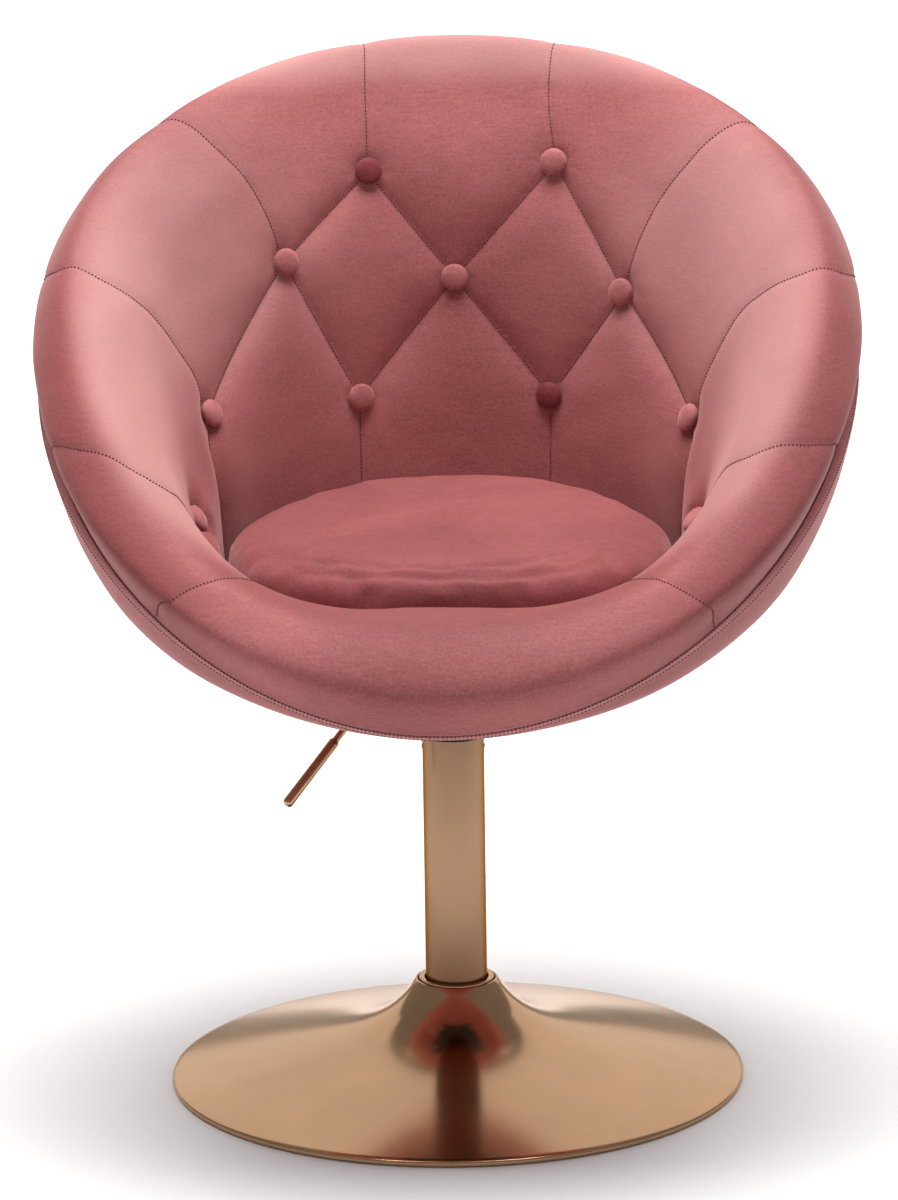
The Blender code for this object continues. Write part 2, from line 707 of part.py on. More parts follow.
def make_lever(body):
    x = LEVER_PIVOT_X
    hub = cylinder_mesh("lever_hub", HUB_RADIUS, (x, -0.0090, LEVER_HEIGHT), (x, 0.0090, LEVER_HEIGHT))
    bent = tube_mesh("lever_rod", lever_route(), LEVER_RADIUS)
    rod = add_node("lever_rod", joined_mesh(bent, hub), "rose_gold", body)
    bore = cylinder_mesh("hub_bore", PIVOT_RADIUS + GAP, (x, -0.02, LEVER_HEIGHT), (x, 0.02, LEVER_HEIGHT))
    cut(rod, add_cutter("hub_bore", bore))

    start, end = Vector(GRIP_START), Vector(GRIP_END)
    length = (end - start).length
    bore_radius = LEVER_RADIUS + GAP
    profile = [(0.0, length)]
    profile += [
        (GRIP_RADIUS - 0.0018 * (1 - math.sin(a)), length - 0.0018 * (1 - math.cos(a)))
        for a in (0.0, math.pi / 6, math.pi / 3, math.pi / 2)
    ]
    profile += [(GRIP_RADIUS, 0.0008), (GRIP_RADIUS - 0.0006, 0.0), (bore_radius, 0.0), (bore_radius, 0.047), (0.0, 0.047)]
    grip = turned("lever_grip", profile, "rose_gold", body, closed=False, steps=20)
    grip.rotation_mode = "QUATERNION"
    place = Matrix.Translation(start) @ (end - start).to_track_quat("Z", "Y").to_matrix().to_4x4()
    grip.matrix_world = place


# ---- the bowl -----------------------------------------------------------
def make_bowl(body, bolt_hole_cutter):
    shell = add_node("bowl_shell", loft("bowl_shell", shell_section, closed=False), "velvet", body)
    cut(shell, bolt_hole_cutter)
    padding = loft("inner_upholstery", upholstery_section, closed=True)
    add_node("inner_upholstery", padding, "velvet", body)
    add_node("edge_binding", loft("edge_binding", binding_section, closed=True), "velvet", body)

    foam = mesh_from(
        "seat_foam",
        lambda b: cylinder_into(b, 0.120, (0, 0, FOAM_FLOOR), (0, 0, FOAM_TOP), 36, end_radius=0.160),
    )
    add_node("seat_foam", foam, "foam", body)
    make_cushion(body)


def make_cushion(body):
    """A round crowned cushion."""
    half = (CUSHION_TOP - 0.018 - CUSHION_FLOOR) / 2
    middle = CUSHION_FLOOR + half
    edge = CUSHION_RADIUS - half
    profile = [(0.0, CUSHION_TOP), (0.07, CUSHION_TOP - 0.0025), (0.12, CUSHION_TOP - 0.0085)]
    for i in range(7):
        turn = math.pi / 2 - math.pi * i / 6
        profile.append((edge + half * math.cos(turn), middle + half * math.sin(turn)))
    profile.append((0.0, CUSHION_FLOOR))
    turned("seat_cushion", profile, "velvet", body, closed=False, steps=48)


def button_profile():
    """A domed, covered button, from its crown down to its flat back."""
    rim = 0.0022
    points = [(0.0, BUTTON_HEIGHT)]
    for turn in (0.5, 0.95, 1.35):
        points.append((BUTTON_RADIUS * math.sin(turn), rim + (BUTTON_HEIGHT - rim) * math.cos(turn)))
    points += [(BUTTON_RADIUS, rim), (BUTTON_RADIUS * 0.86, 0.0), (0.0, 0.0)]
    return points


def make_buttons(body):
    number = 0
    for row in BUTTON_ROWS:
        for from_back, place in row:
            number += 1
            point, normal = surface_frame(math.radians(180 - from_back), place)
            button = turned(f"tuft_button_{number}", button_profile(), "velvet", body, closed=False, steps=12)
            button.rotation_mode = "QUATERNION"
            stand = Matrix.Translation(point + normal * BUTTON_STAND_OFF)
            button.matrix_world = stand @ normal.to_track_quat("Z", "Y").to_matrix().to_4x4()


clear_scene()
CHAIR = new_collection("styling_chair")
CUTTERS = new_collection("cutters")
CUTTERS.hide_render = True
MATERIALS = make_materials()

base_body = empty_at("base_body")
spindle_body = empty_at("spindle_body", (0, 0, PLUG_TOP))
seat_body = empty_at("seat_body", (0, 0, COLUMN_TOP))
lever_body = empty_at("lever_body", (LEVER_PIVOT_X, 0, LEVER_HEIGHT))
pin_body = empty_at("pin_body", (0, 0, PIN_TOP))

make_base(base_body)
make_column(base_body)
make_spindle(spindle_body)
make_cylinder(seat_body)
make_release_pin(pin_body)
hole_cutter = make_mechanism(seat_body)
make_pivot(seat_body)
make_lever(lever_body)
make_bowl(seat_body, hole_cutter)
make_buttons(seat_body)
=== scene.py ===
"""Looks for the styling chair: tufted velvet bowl, gas lift column and trumpet base in satin rose gold."""

import json
import math

import bmesh
import bpy
import numpy as np
from mathutils import Matrix, Vector, kdtree


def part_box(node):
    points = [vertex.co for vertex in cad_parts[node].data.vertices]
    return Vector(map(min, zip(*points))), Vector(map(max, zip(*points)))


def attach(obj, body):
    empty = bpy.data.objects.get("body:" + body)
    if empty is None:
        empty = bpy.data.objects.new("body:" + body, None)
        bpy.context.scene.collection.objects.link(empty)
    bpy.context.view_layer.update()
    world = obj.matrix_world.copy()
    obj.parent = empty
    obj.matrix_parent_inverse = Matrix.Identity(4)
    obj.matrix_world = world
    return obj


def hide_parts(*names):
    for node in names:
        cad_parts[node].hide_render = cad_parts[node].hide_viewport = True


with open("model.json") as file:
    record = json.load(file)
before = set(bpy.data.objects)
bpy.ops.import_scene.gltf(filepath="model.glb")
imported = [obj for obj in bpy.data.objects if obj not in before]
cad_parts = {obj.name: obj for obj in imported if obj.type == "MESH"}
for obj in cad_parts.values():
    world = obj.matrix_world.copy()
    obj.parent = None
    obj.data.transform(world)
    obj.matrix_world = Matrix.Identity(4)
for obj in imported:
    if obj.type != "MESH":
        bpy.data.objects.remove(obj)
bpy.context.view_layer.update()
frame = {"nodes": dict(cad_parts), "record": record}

# ---- the bowl's driving sizes, as in the CAD ----------------------------
# Each ring is (reach, height) at the front, the sides and the back, in metres.
SHELL_FLOOR = 0.3403
INNER_RINGS = {
    "seam": ((0.294, 0.366), (0.324, 0.609), (0.312, 0.795)),
    "bulge": ((0.316, 0.402), (0.331, 0.644), (0.317, 0.813)),
    "crest": ((0.288, 0.439), (0.298, 0.670), (0.292, 0.831)),
    "shoulder": ((0.254, 0.450), (0.259, 0.610), (0.270, 0.788)),
    "button_line": ((0.216, 0.441), (0.215, 0.501), (0.248, 0.722)),
    "wall": ((0.203, 0.424), (0.199, 0.470), (0.228, 0.600)),
    "foot": ((0.196, 0.404), (0.193, 0.412), (0.201, 0.425)),
}
OUTER_RINGS = {
    "seam": INNER_RINGS["seam"],
    "flank": ((0.278, 0.359), (0.331, 0.582), (0.320, 0.744)),
    "belly": ((0.260, 0.354), (0.302, 0.494), (0.310, 0.620)),
    "haunch": ((0.202, 0.343), (0.238, 0.415), (0.271, 0.479)),
    "heel": ((0.150, 0.3405), (0.160, 0.352), (0.190, 0.370)),
    "floor": ((0.118, SHELL_FLOOR), (0.118, SHELL_FLOOR), (0.118, SHELL_FLOOR)),
}
FRONT_CORNER = 0.007  # the outer rings are this much fuller at the two front corners
FULL_RINGS = ("seam", "bulge", "flank", "belly", "haunch")
FRONT_DIP = 0.018  # and the lip is this much lower there
LOW_RINGS = ("crest", "shoulder", "button_line")
SHELL_THICK = 0.008
BUTTON_RADIUS, BUTTON_HEIGHT, BUTTON_STAND_OFF = 0.0115, 0.0070, 0.0025

# Buttons whose velvet is painted darker, as painted shade for the nap that catches less light on them.
BUTTONS_IN_PAINTED_SHADE = ("tuft_button_1", "tuft_button_8")
# Buttons by CAD node: the angle from the back in degrees, and the place along the section.
BUTTONS = {
    "tuft_button_1": (-17, 3.84),
    "tuft_button_2": (20, 3.70),
    "tuft_button_3": (-37, 4.10),
    "tuft_button_4": (0, 4.77),
    "tuft_button_5": (38.5, 4.36),
    "tuft_button_6": (-68, 4.27),
    "tuft_button_7": (-22, 5.34),
    "tuft_button_8": (22, 5.34),
    "tuft_button_9": (68, 4.42),
    "tuft_button_10": (-96, 4.20),
    "tuft_button_11": (95, 4.60),
}

# Sewn lines of the cover, as runs of (angle from the back, place along the section). Those that cross the
# roll start at the rim, and all but the two at the front corners end at a button.
ROLL_SEAMS = (
    ((-15, 0.0), (-15, 1.9), (-16, 2.9), (-17, 3.84)),
    ((17, 0.0), (17, 1.9), (17.5, 2.9), (20, 3.70)),
    ((-54, 0.0), (-53, 1.5), (-48, 2.5), (-41.5, 3.3), (-37, 4.10)),
    ((55, 0.0), (55, 1.7), (49, 2.75), (43, 3.5), (38.5, 4.36)),
    ((-79, 0.0), (-84, 1.1), (-87, 1.65), (-87, 2.3), (-82, 2.9), (-75.5, 3.4), (-70.5, 3.8), (-68, 4.27)),
    ((79, 0.0), (84.5, 1.0), (88.5, 1.6), (88.5, 2.2), (83.5, 2.75), (76.5, 3.3), (70.5, 3.85), (68, 4.42)),
    ((-109, 0.0), (-112, 0.94), (-117.5, 1.6), (-122, 2.3), (-121, 2.95), (-112, 3.55), (-96, 4.20)),
    ((109, 0.0), (112, 0.82), (118, 1.7), (119, 2.5), (113, 3.25), (105, 3.9), (95, 4.60)),
    ((-135, 0.0), (-138, 0.6), (-140.5, 1.0), (-142, 1.5), (-143.5, 2.1), (-144, 3.0), (-140, 4.2),
     (-135, 6.0)),
    ((138, 0.0), (140, 0.55), (142, 1.0), (143.5, 1.5), (144.5, 2.1), (145, 3.0), (141, 4.2), (136, 6.0)),
)
TUFT_LINES = (
    ("tuft_button_1", "tuft_button_3"), ("tuft_button_1", "tuft_button_4"),
    ("tuft_button_2", "tuft_button_4"), ("tuft_button_2", "tuft_button_5"),
    ("tuft_button_3", "tuft_button_6"), ("tuft_button_3", "tuft_button_7"),
    ("tuft_button_4", "tuft_button_7"), ("tuft_button_4", "tuft_button_8"),
    ("tuft_button_5", "tuft_button_8"), ("tuft_button_5", "tuft_button_9"),
)
DROP_SEAMS = (
    ((-22, 5.34), (-23.5, 6.0)), ((22, 5.34), (23.5, 6.0)),
    ((-68, 4.27), (-74, 4.9), (-74, 6.0)), ((68, 4.42), (74, 5.0), (74, 6.0)),
)

GRID_AROUND = 800
SPAN_STEPS = {"seam": 24, "bulge": 28, "crest": 30, "shoulder": 62, "button_line": 62, "wall": 40}
TUFT_PUFF = 0.0085  # how far the cover stands up between the tufting lines
TUFT_REACH = 0.017  # the distance over which it rises
ROLL_PUFF = 0.014  # how much fuller the inner side of the roll is at the sides
LINE_PULL, BUTTON_PULL = 3e6, 2e6  # how hard the tufting lines and the buttons hold the cover down
LINE_WIDTH, BUTTON_HOLD = 0.0017, 0.013
STITCH_PITCH, STITCH_SHARE, STITCH_RADIUS = 0.0031, 0.5, 0.00058
EDGE_STITCHES = ((0.0007, 0.0009), (0.0108, 0.0012))  # distance below the seam, and height off the shell

# ---- the seat cushion ----------------------------------------------------
SEAT_EDGE = 0.021
SEAT_VOXEL = 0.005
SEAT_PRESSURE, SEAT_FRAMES, SEAT_CAP, SEAT_SHRINK = 3.0, 14, 0.004, -0.008
SEAT_HELD = 0.012  # the lowest part of the cushion, which rests on its board
SEAT_BACK_STRETCH = 0.125  # the cushion reaches farther to the back than to the sides
SEAT_BACK_RISE = 0.006
# Folds along the cushion's front edge: (reach, width, height, middle angle, angle spread).
SEAT_FOLDS = (
    (0.151, 0.0028, -0.0012, 0.55, 0.28), (0.1560, 0.0030, -0.0022, 0.10, 0.50),
    (0.1620, 0.0038, 0.0020, 0.05, 0.60), (0.1690, 0.0028, -0.0018, -0.10, 0.65),
    (0.1600, 0.0026, -0.0014, -0.62, 0.25), (0.1740, 0.0030, 0.0012, 0.30, 0.40),
)

# ---- the base, column and lever ------------------------------------------
DOME_EDGE, DOME_RISE, DOME_POWER = 0.005, 0.047, 1.2  # the low dome's edge height, rise and fullness
FLARE_LENGTH = 0.024  # the neck's flare falls to the dome by 1/e over this radius
NECK_RADIUS, SHEET = 0.0345, 0.002
COLUMN_WALL = 0.0018
NECK_RING_BORE = 0.0263
FLOOR_RING_BORE = 0.190
CYLINDER_BORE, CYLINDER_SHOULDER = 0.0108, 0.289
SCREW_REACH = 0.0254
LEVER_BEND = np.array((-0.0625, 0.0, 0.3297))
GRIP_START = np.array((-0.096, -0.020, 0.2915))
GRIP_END = np.array((-0.135, -0.055, 0.2469))
ROD_RADIUS = 0.003

# ---- colours and finishes ------------------------------------------------
VELVET_DARK, VELVET_LIGHT = (0.235, 0.064, 0.067), (0.390, 0.122, 0.122)
# Painted light on the velvet: a pale tint mixed in as a painted highlight, and a darker, redder tint
# multiplied in as painted shade.
PAINTED_HIGHLIGHT_TINT, PAINTED_SHADE_TINT = (0.56, 0.31, 0.29), (0.66, 0.48, 0.48)
SEAT_DARK, SEAT_LIGHT = (0.165, 0.034, 0.038), (0.275, 0.066, 0.069)
SHEEN_TINT, GLOSS_TINT = (1.0, 0.57, 0.54, 1.0), (1.0, 0.72, 0.68, 1.0)
# The column's rose gold is painted darker than the base's, as painted shade for the dimmer surroundings its
# tube reflects.
ROSE_GOLD, TUBE_GOLD_IN_PAINTED_SHADE = (0.52, 0.31, 0.178), (0.33, 0.197, 0.12)
# Shares of broad patches, brushed streaks, ribs and nap in how the velvet's pile lies.
PILE_SHARES = (0.36, 0.10, 0.16, 0.38)
# Where painted light goes on the velvet: a painted highlight on the inner sides of the side rolls and along
# the top of the back, and painted shade on the outer flanks at the sides, low on the inner wall under the
# overhanging rolls, and on the front roll. Each area is a product of
# soft steps: (axis, where it is 0, where it is 1), with its share at the end.
PAINTED_HIGHLIGHT_AREAS = (
    ((("reach", 0.205, 0.240), ("reach", 0.312, 0.280), ("y", 0.24, 0.12), ("y", -0.22, -0.16)), 1.0),
    ((("z", 0.785, 0.815),), 0.8),
)
PAINTED_SHADE_AREAS = (
    ((("reach", 0.286, 0.322), ("y", 0.30, 0.24), ("y", -0.295, -0.235)), 1.0),
    ((("z", 0.60, 0.46), ("reach", 0.245, 0.215), ("y", -0.15, -0.10), ("y", 0.11, 0.06)), 1.0),
    ((("reach", 0.298, 0.272), ("y", -0.18, -0.23)), 1.0),
)

# ---- lights and camera ---------------------------------------------------
WORLD_LEVELS = ((0.0, 0.36), (0.5, 0.28), (1.0, 0.25))  # the room's grey from level to overhead
# Area lights by name: place, target, size, power, and spread in degrees.
LIGHTS = {
    "overhead": ((0.0, 0.1, 3.2), (0, 0, 0.4), (2.2, 2.0), 150, 180),
    "wall": ((0.0, 7.5, 4.2), (0, 0, 0.6), (14.0, 6.0), 190, 180),
    "floor_behind": ((0.0, 7.0, 5.0), (0, 7.0, 0), (12.0, 7.0), 460, 80),
    "floor_before": ((0.0, -10.0, 5.0), (0, -10.0, 0), (12.0, 7.0), 420, 80),
}
CAMERA_DISTANCE, CAMERA_HEIGHT, CAMERA_LENS = 3.936, 1.311, 148.5
CAMERA_RIGHT, CAMERA_PITCH, CAMERA_ROLL = 1.8, 12.97, -0.85  # degrees
CAMERA_SHIFT, CAMERA_YAW = -0.0044, -0.04  # the aim's small offsets from the column, in metres and degrees

SMOOTH_ANGLE = 32  # CAD edges sharper than this stay sharp, in degrees


# ---- the bowl's surface -------------------------------------------------
def around(values, angle):
    """A value round the bowl from its front, side and back values. angle is 0 at the front."""
    front, side, back = values
    mean = (front + back) / 2
    level = (mean + side) / 2
    return level + (front - back) / 2 * np.cos(angle) + (mean - level) * np.cos(2 * angle)


def ring(rings, name, angle):
    """Reach and height of one ring, as an array (..., 2)."""
    corners = rings[name]
    reach = around([c[0] for c in corners], angle)
    height = around([c[1] for c in corners], angle)
    corner = np.sin(2 * angle) ** 2 * (1 + np.cos(angle)) / 2
    if name in FULL_RINGS:
        reach = reach + FRONT_CORNER * corner
    if name in LOW_RINGS:
        height = height - FRONT_DIP * corner
    return np.stack([reach, height], -1)


def catmull_rom(p0, p1, p2, p3, u):
    """The curve from p1 to p2 at u from 0 to 1."""
    cubic = (3 * p1 - p0 - 3 * p2 + p3) * u**3
    square = (2 * p0 - 5 * p1 + 4 * p2 - p3) * u**2
    return (2 * p1 + (p2 - p0) * u + square + cubic) / 2


def spline_at(points, place):
    """Catmull-Rom through the rings. points is (rings, ..., 2) and place has the shape of the middle."""
    last = len(points) - 1
    i = np.minimum(place.astype(int), last - 1)
    u = (place - i)[..., None]
    padded = np.concatenate([2 * points[:1] - points[1:2], points, 2 * points[-1:] - points[-2:-1]])
    picks = [np.take_along_axis(padded, (i + k)[None, ..., None].repeat(2, -1), 0)[0] for k in range(4)]
    return catmull_rom(*picks, u)


def surface(rings, angle, place):
    """Points in space for arrays of angle (0 at the front) and place."""
    angle, place = np.broadcast_arrays(np.asarray(angle, float), np.asarray(place, float))
    points = np.stack([ring(rings, name, angle) for name in rings])
    flat = spline_at(points, place)
    reach, height = flat[..., 0], flat[..., 1]
    return np.stack([reach * np.sin(angle), -reach * np.cos(angle), height], -1)


def unit(vectors):
    return vectors / np.maximum(np.linalg.norm(vectors, axis=-1, keepdims=True), 1e-12)


def surface_normals(rings, angle, place):
    """Unit normals that point to the seat side of the surface."""
    step = 0.004
    last = len(rings) - 1
    low, high = np.clip(place - step, 0, last), np.clip(place + step, 0, last)
    across = surface(rings, angle + step, place) - surface(rings, angle - step, place)
    along = surface(rings, angle, high) - surface(rings, angle, low)
    return unit(np.cross(across, along))


def from_back(degrees):
    """Radians from the front for an angle measured from the back."""
    return math.radians(180 - degrees)


# ---- mesh helpers -------------------------------------------------------
def add_object(name, data):
    obj = bpy.data.objects.new(name, data)
    bpy.context.scene.collection.objects.link(obj)
    return obj


def new_piece(name, vertices, faces, material, smooth=True):
    mesh = bpy.data.meshes.new(name)
    mesh.from_pydata([tuple(v) for v in np.asarray(vertices, float)], [], [tuple(f) for f in faces])
    mesh.validate()
    mesh.materials.append(material)
    if smooth:
        mesh.shade_smooth()
    return add_object(name, mesh)


def grid_faces(rows, columns, close_rows=True, close_columns=False):
    """Quads of a grid of rows by columns, wrapped where asked."""
    faces = []
    for i in range(rows if close_rows else rows - 1):
        k = (i + 1) % rows
        for j in range(columns if close_columns else columns - 1):
            m = (j + 1) % columns
            faces.append((i * columns + j, k * columns + j, k * columns + m, i * columns + m))
    return faces


def hoop(centre, side, over, radius, sides):
    """Points of a circle about centre, in the plane of the unit vectors side and over."""
    turns = np.linspace(0, 2 * math.pi, sides, endpoint=False)
    return [centre + (side * math.cos(turn) + over * math.sin(turn)) * radius for turn in turns]


def sharpen(obj, degrees):
    obj.data.set_sharp_from_angle(angle=math.radians(degrees))


def lathe(name, profile, material, sides=144, sharp=30):
    """A turned piece about Z. The profile runs from the inner or upper side round to the outer side."""
    profile = np.asarray(profile, float)
    turn = np.linspace(0, 2 * math.pi, sides, endpoint=False)
    x = profile[None, :, 0] * np.cos(turn)[:, None]
    y = profile[None, :, 0] * np.sin(turn)[:, None]
    z = np.broadcast_to(profile[None, :, 1], x.shape)
    count = len(profile)
    vertices = np.stack([x, y, z], -1).reshape(-1, 3)
    closed = profile[0, 0] > 1e-6 and profile[-1, 0] > 1e-6
    faces = grid_faces(sides, count, close_columns=closed)
    obj = new_piece(name, vertices, faces, material)
    weld(obj)
    sharpen(obj, sharp)
    return obj


def weld(obj, distance=1e-6):
    bm = bmesh.new()
    bm.from_mesh(obj.data)
    bmesh.ops.remove_doubles(bm, verts=bm.verts, dist=distance)
    bmesh.ops.dissolve_degenerate(bm, edges=bm.edges, dist=distance)
    bmesh.ops.recalc_face_normals(bm, faces=bm.faces)
    bm.to_mesh(obj.data)
    bm.free()


def rounded(profile, radius, steps=5):
    """A closed profile with each corner rounded, as (r, z) points."""
    out = []
    count = len(profile)
    for i in range(count):
        here = np.array(profile[i], float)
        before, after = np.array(profile[i - 1], float), np.array(profile[(i + 1) % count], float)
        to_before, to_after = before - here, after - here
        reach = min(radius, 0.45 * np.linalg.norm(to_before), 0.45 * np.linalg.norm(to_after))
        start = here + to_before / np.linalg.norm(to_before) * reach
        end = here + to_after / np.linalg.norm(to_after) * reach
        for t in np.linspace(0, 1, steps):
            out.append(start * (1 - t) ** 2 + here * 2 * t * (1 - t) + end * t**2)
    return out


# ---- materials ----------------------------------------------------------
def fill_inputs(node, **values):
    """Sets constants on a node's sockets, with _ for a space in their names."""
    for key, value in values.items():
        node.inputs[key.replace("_", " ")].default_value = value


class Nodes:
    """Builds one material's nodes with little writing."""

    def __init__(self, name):
        self.material = bpy.data.materials.new(name)
        self.material.use_nodes = True
        self.tree = self.material.node_tree
        self.shader = self.tree.nodes["Principled BSDF"]

    def add(self, kind, **settings):
        node = self.tree.nodes.new(kind)
        for key, value in settings.items():
            setattr(node, key, value)
        return node

    def link(self, output, target):
        self.tree.links.new(output, target)

    def place(self, scale=(1, 1, 1)):
        """Object coordinates, stretched."""
        coordinates = self.add("ShaderNodeTexCoord")
        mapping = self.add("ShaderNodeMapping")
        fill_inputs(mapping, Scale=scale)
        self.link(coordinates.outputs["Object"], mapping.inputs["Vector"])
        return mapping.outputs["Vector"]

    def noise(self, vector, scale, detail=3.0, roughness=0.5, distortion=0.0):
        node = self.add("ShaderNodeTexNoise")
        fill_inputs(node, Scale=scale, Detail=detail, Roughness=roughness, Distortion=distortion)
        self.link(vector, node.inputs["Vector"])
        return node.outputs["Fac"]

    def ramp(self, factor, stops):
        node = self.add("ShaderNodeValToRGB")
        elements = node.color_ramp.elements
        while len(elements) < len(stops):
            elements.new(0.5)
        for element, (position, colour) in zip(elements, stops):
            element.position = position
            element.color = (*colour, 1.0)
        self.link(factor, node.inputs["Fac"])
        return node.outputs["Color"]

    def math(self, operation, first, second):
        node = self.add("ShaderNodeMath", operation=operation)
        for socket, value in zip(node.inputs, (first, second)):
            if isinstance(value, (int, float)):
                socket.default_value = value
            else:
                self.link(value, socket)
        return node.outputs["Value"]

    def mix(self, factor, first, second, blend="MIX"):
        node = self.add("ShaderNodeMix", data_type="RGBA", blend_type=blend)
        sockets = {s.name + s.type: s for s in node.inputs}
        for key, value in (("FactorVALUE", factor), ("ARGBA", first), ("BRGBA", second)):
            if isinstance(value, (int, float)):
                sockets[key].default_value = value
            elif isinstance(value, tuple):
                sockets[key].default_value = (*value, 1.0)
            else:
                self.link(value, sockets[key])
        return [o for o in node.outputs if o.type == "RGBA"][0]

    def bump(self, height, distance, strength=1.0):
        node = self.add("ShaderNodeBump")
        fill_inputs(node, Strength=strength, Distance=distance)
        self.link(height, node.inputs["Height"])
        return node.outputs["Normal"]

    def step(self, value, low, high):
        """0 below low, 1 above high, smooth between. low may be above high, which turns it round."""
        node = self.add("ShaderNodeMapRange", interpolation_type="SMOOTHSTEP")
        fill_inputs(node, From_Min=low, From_Max=high)
        self.link(value, node.inputs["Value"])
        return node.outputs["Result"]

    def axes(self):
        """Object y and z, and the reach from the column's axis."""
        split = self.add("ShaderNodeSeparateXYZ")
        self.link(self.place(), split.inputs[0])
        flat = self.add("ShaderNodeVectorMath", operation="LENGTH")
        self.link(self.place((1, 1, 0)), flat.inputs[0])
        return {"y": split.outputs["Y"], "z": split.outputs["Z"], "reach": flat.outputs["Value"]}

    def areas(self, areas):
        """1 inside any of the areas, 0 outside, with soft edges."""
        axes = self.axes()
        whole = 0.0
        for steps, share in areas:
            inside = share
            for axis, low, high in steps:
                inside = self.math("MULTIPLY", inside, self.step(axes[axis], low, high))
            whole = self.math("MAXIMUM", whole, inside)
        return whole

    def finish(self, colour, normal, rough=None):
        """Links the shader's colour, normal and roughness, and gives the material."""
        self.link(colour, self.shader.inputs["Base Color"])
        self.link(normal, self.shader.inputs["Normal"])
        if rough is not None:
            self.link(rough, self.shader.inputs["Roughness"])
        return self.material


def velvet(name, dark, light, seed=0.0, patch=6.0, sheen=1.0, painted_light_areas=False):
    """Short pile velvet: broad patches where the pile lies either way, brushed streaks and a fine nap, and
    where asked, a painted highlight and painted shade laid in fixed areas.
    """
    n = Nodes(name)
    shifted = n.add("ShaderNodeVectorMath", operation="ADD")
    n.link(n.place(), shifted.inputs[0])
    shifted.inputs[1].default_value = (seed, seed * 0.7, seed * 1.3)
    patches = n.noise(shifted.outputs["Vector"], patch, 2.0, 0.45, 0.5)
    brushed = n.noise(n.place((14, 14, 46)), 1.0, 3.0, 0.55, 0.8)
    rib = n.noise(n.place((90, 90, 560)), 1.0, 2.0, 0.6)
    nap = n.noise(n.place(), 430.0, 2.0, 0.7)
    lie = 0.0
    for layer, share in zip((patches, brushed, rib, nap), PILE_SHARES):
        lie = n.math("ADD", lie, n.math("MULTIPLY", layer, share))
    middle = tuple((d + l) / 2 for d, l in zip(dark, light))
    colour = n.ramp(lie, [(0.38, dark), (0.50, middle), (0.62, light)])
    rough = n.ramp(lie, [(0.35, (0.64, 0.64, 0.64)), (0.65, (0.76, 0.76, 0.76))])
    # Painted light: painted shade darkens and reddens the shade areas, and a painted highlight pales the
    # highlight areas, both broken up by the patches.
    if painted_light_areas:
        uneven = n.math("MULTIPLY", patches, 0.9)
        away = n.math("MULTIPLY", n.areas(PAINTED_SHADE_AREAS), n.math("ADD", uneven, 0.5))
        colour = n.mix(n.math("MINIMUM", away, 1.0), colour, n.mix(1.0, colour, PAINTED_SHADE_TINT, "MULTIPLY"))
        towards = n.math("MULTIPLY", n.areas(PAINTED_HIGHLIGHT_AREAS), n.math("ADD", uneven, 0.2))
        colour = n.mix(n.math("MULTIPLY", towards, 0.75), colour, PAINTED_HIGHLIGHT_TINT)
    fine = n.math("ADD", n.math("MULTIPLY", nap, 0.8), n.math("MULTIPLY", rib, 0.4))
    fill_inputs(n.shader, Sheen_Weight=sheen, Sheen_Roughness=0.5, Sheen_Tint=SHEEN_TINT)
    fill_inputs(n.shader, Specular_IOR_Level=0.25, Specular_Tint=GLOSS_TINT)
    return n.finish(colour, n.bump(fine, 0.0008, 0.3), rough)


def spun_metal(name, colour, edge, rough, ring_scale, stretch, axis):
    """Satin plated metal with the fine rings of a spun or drawn piece, faint smears and a few hairlines."""
    n = Nodes(name)
    line = n.add("ShaderNodeCombineXYZ")
    n.link(n.math("MULTIPLY", n.axes()[axis], ring_scale), line.inputs["X"])
    rings = n.noise(line.outputs["Vector"], 1.0, 4.0, 0.7)
    smear = n.noise(n.place(), 11.0, 4.0, 0.6, 0.6)
    hair = n.noise(n.place((240, 18, 60)), 1.0, 2.0, 0.5)
    tone = n.ramp(n.math("ADD", n.math("MULTIPLY", smear, 0.7), n.math("MULTIPLY", rings, 0.3)),
                  [(0.35, shade(colour, 0.90)), (0.65, shade(colour, 1.06))])
    spread = n.math("ADD", n.math("MULTIPLY", rings, 0.08), n.math("MULTIPLY", smear, 0.10))
    fine = n.math("ADD", n.math("MULTIPLY", rings, 0.8), n.math("MULTIPLY", hair, 0.3))
    tangent = n.add("ShaderNodeTangent", direction_type="RADIAL", axis="Z")
    n.link(tangent.outputs["Tangent"], n.shader.inputs["Tangent"])
    fill_inputs(n.shader, Anisotropic=stretch, Metallic=1.0, Specular_Tint=(*edge, 1.0))
    return n.finish(tone, n.bump(fine, 0.00005, 0.35), n.math("ADD", spread, rough - 0.09))


def shade(colour, level):
    return tuple(min(1, c * level) for c in colour)


def plain_finish(name, colour, rough, grain=160.0, depth=0.00005, metallic=1.0):
    """Metal, paint, nylon or rubber with faint blotches and a fine grain."""
    n = Nodes(name)
    blotch = n.noise(n.place(), 35.0, 3.0)
    fine = n.noise(n.place(), grain, 3.0, 0.6)
    tone = n.ramp(blotch, [(0.35, shade(colour, 0.85)), (0.65, shade(colour, 1.08))])
    fill_inputs(n.shader, Metallic=metallic)
    rough = n.math("ADD", n.math("MULTIPLY", fine, 0.15), rough - 0.075)
    return n.finish(tone, n.bump(fine, depth, 0.5), rough)


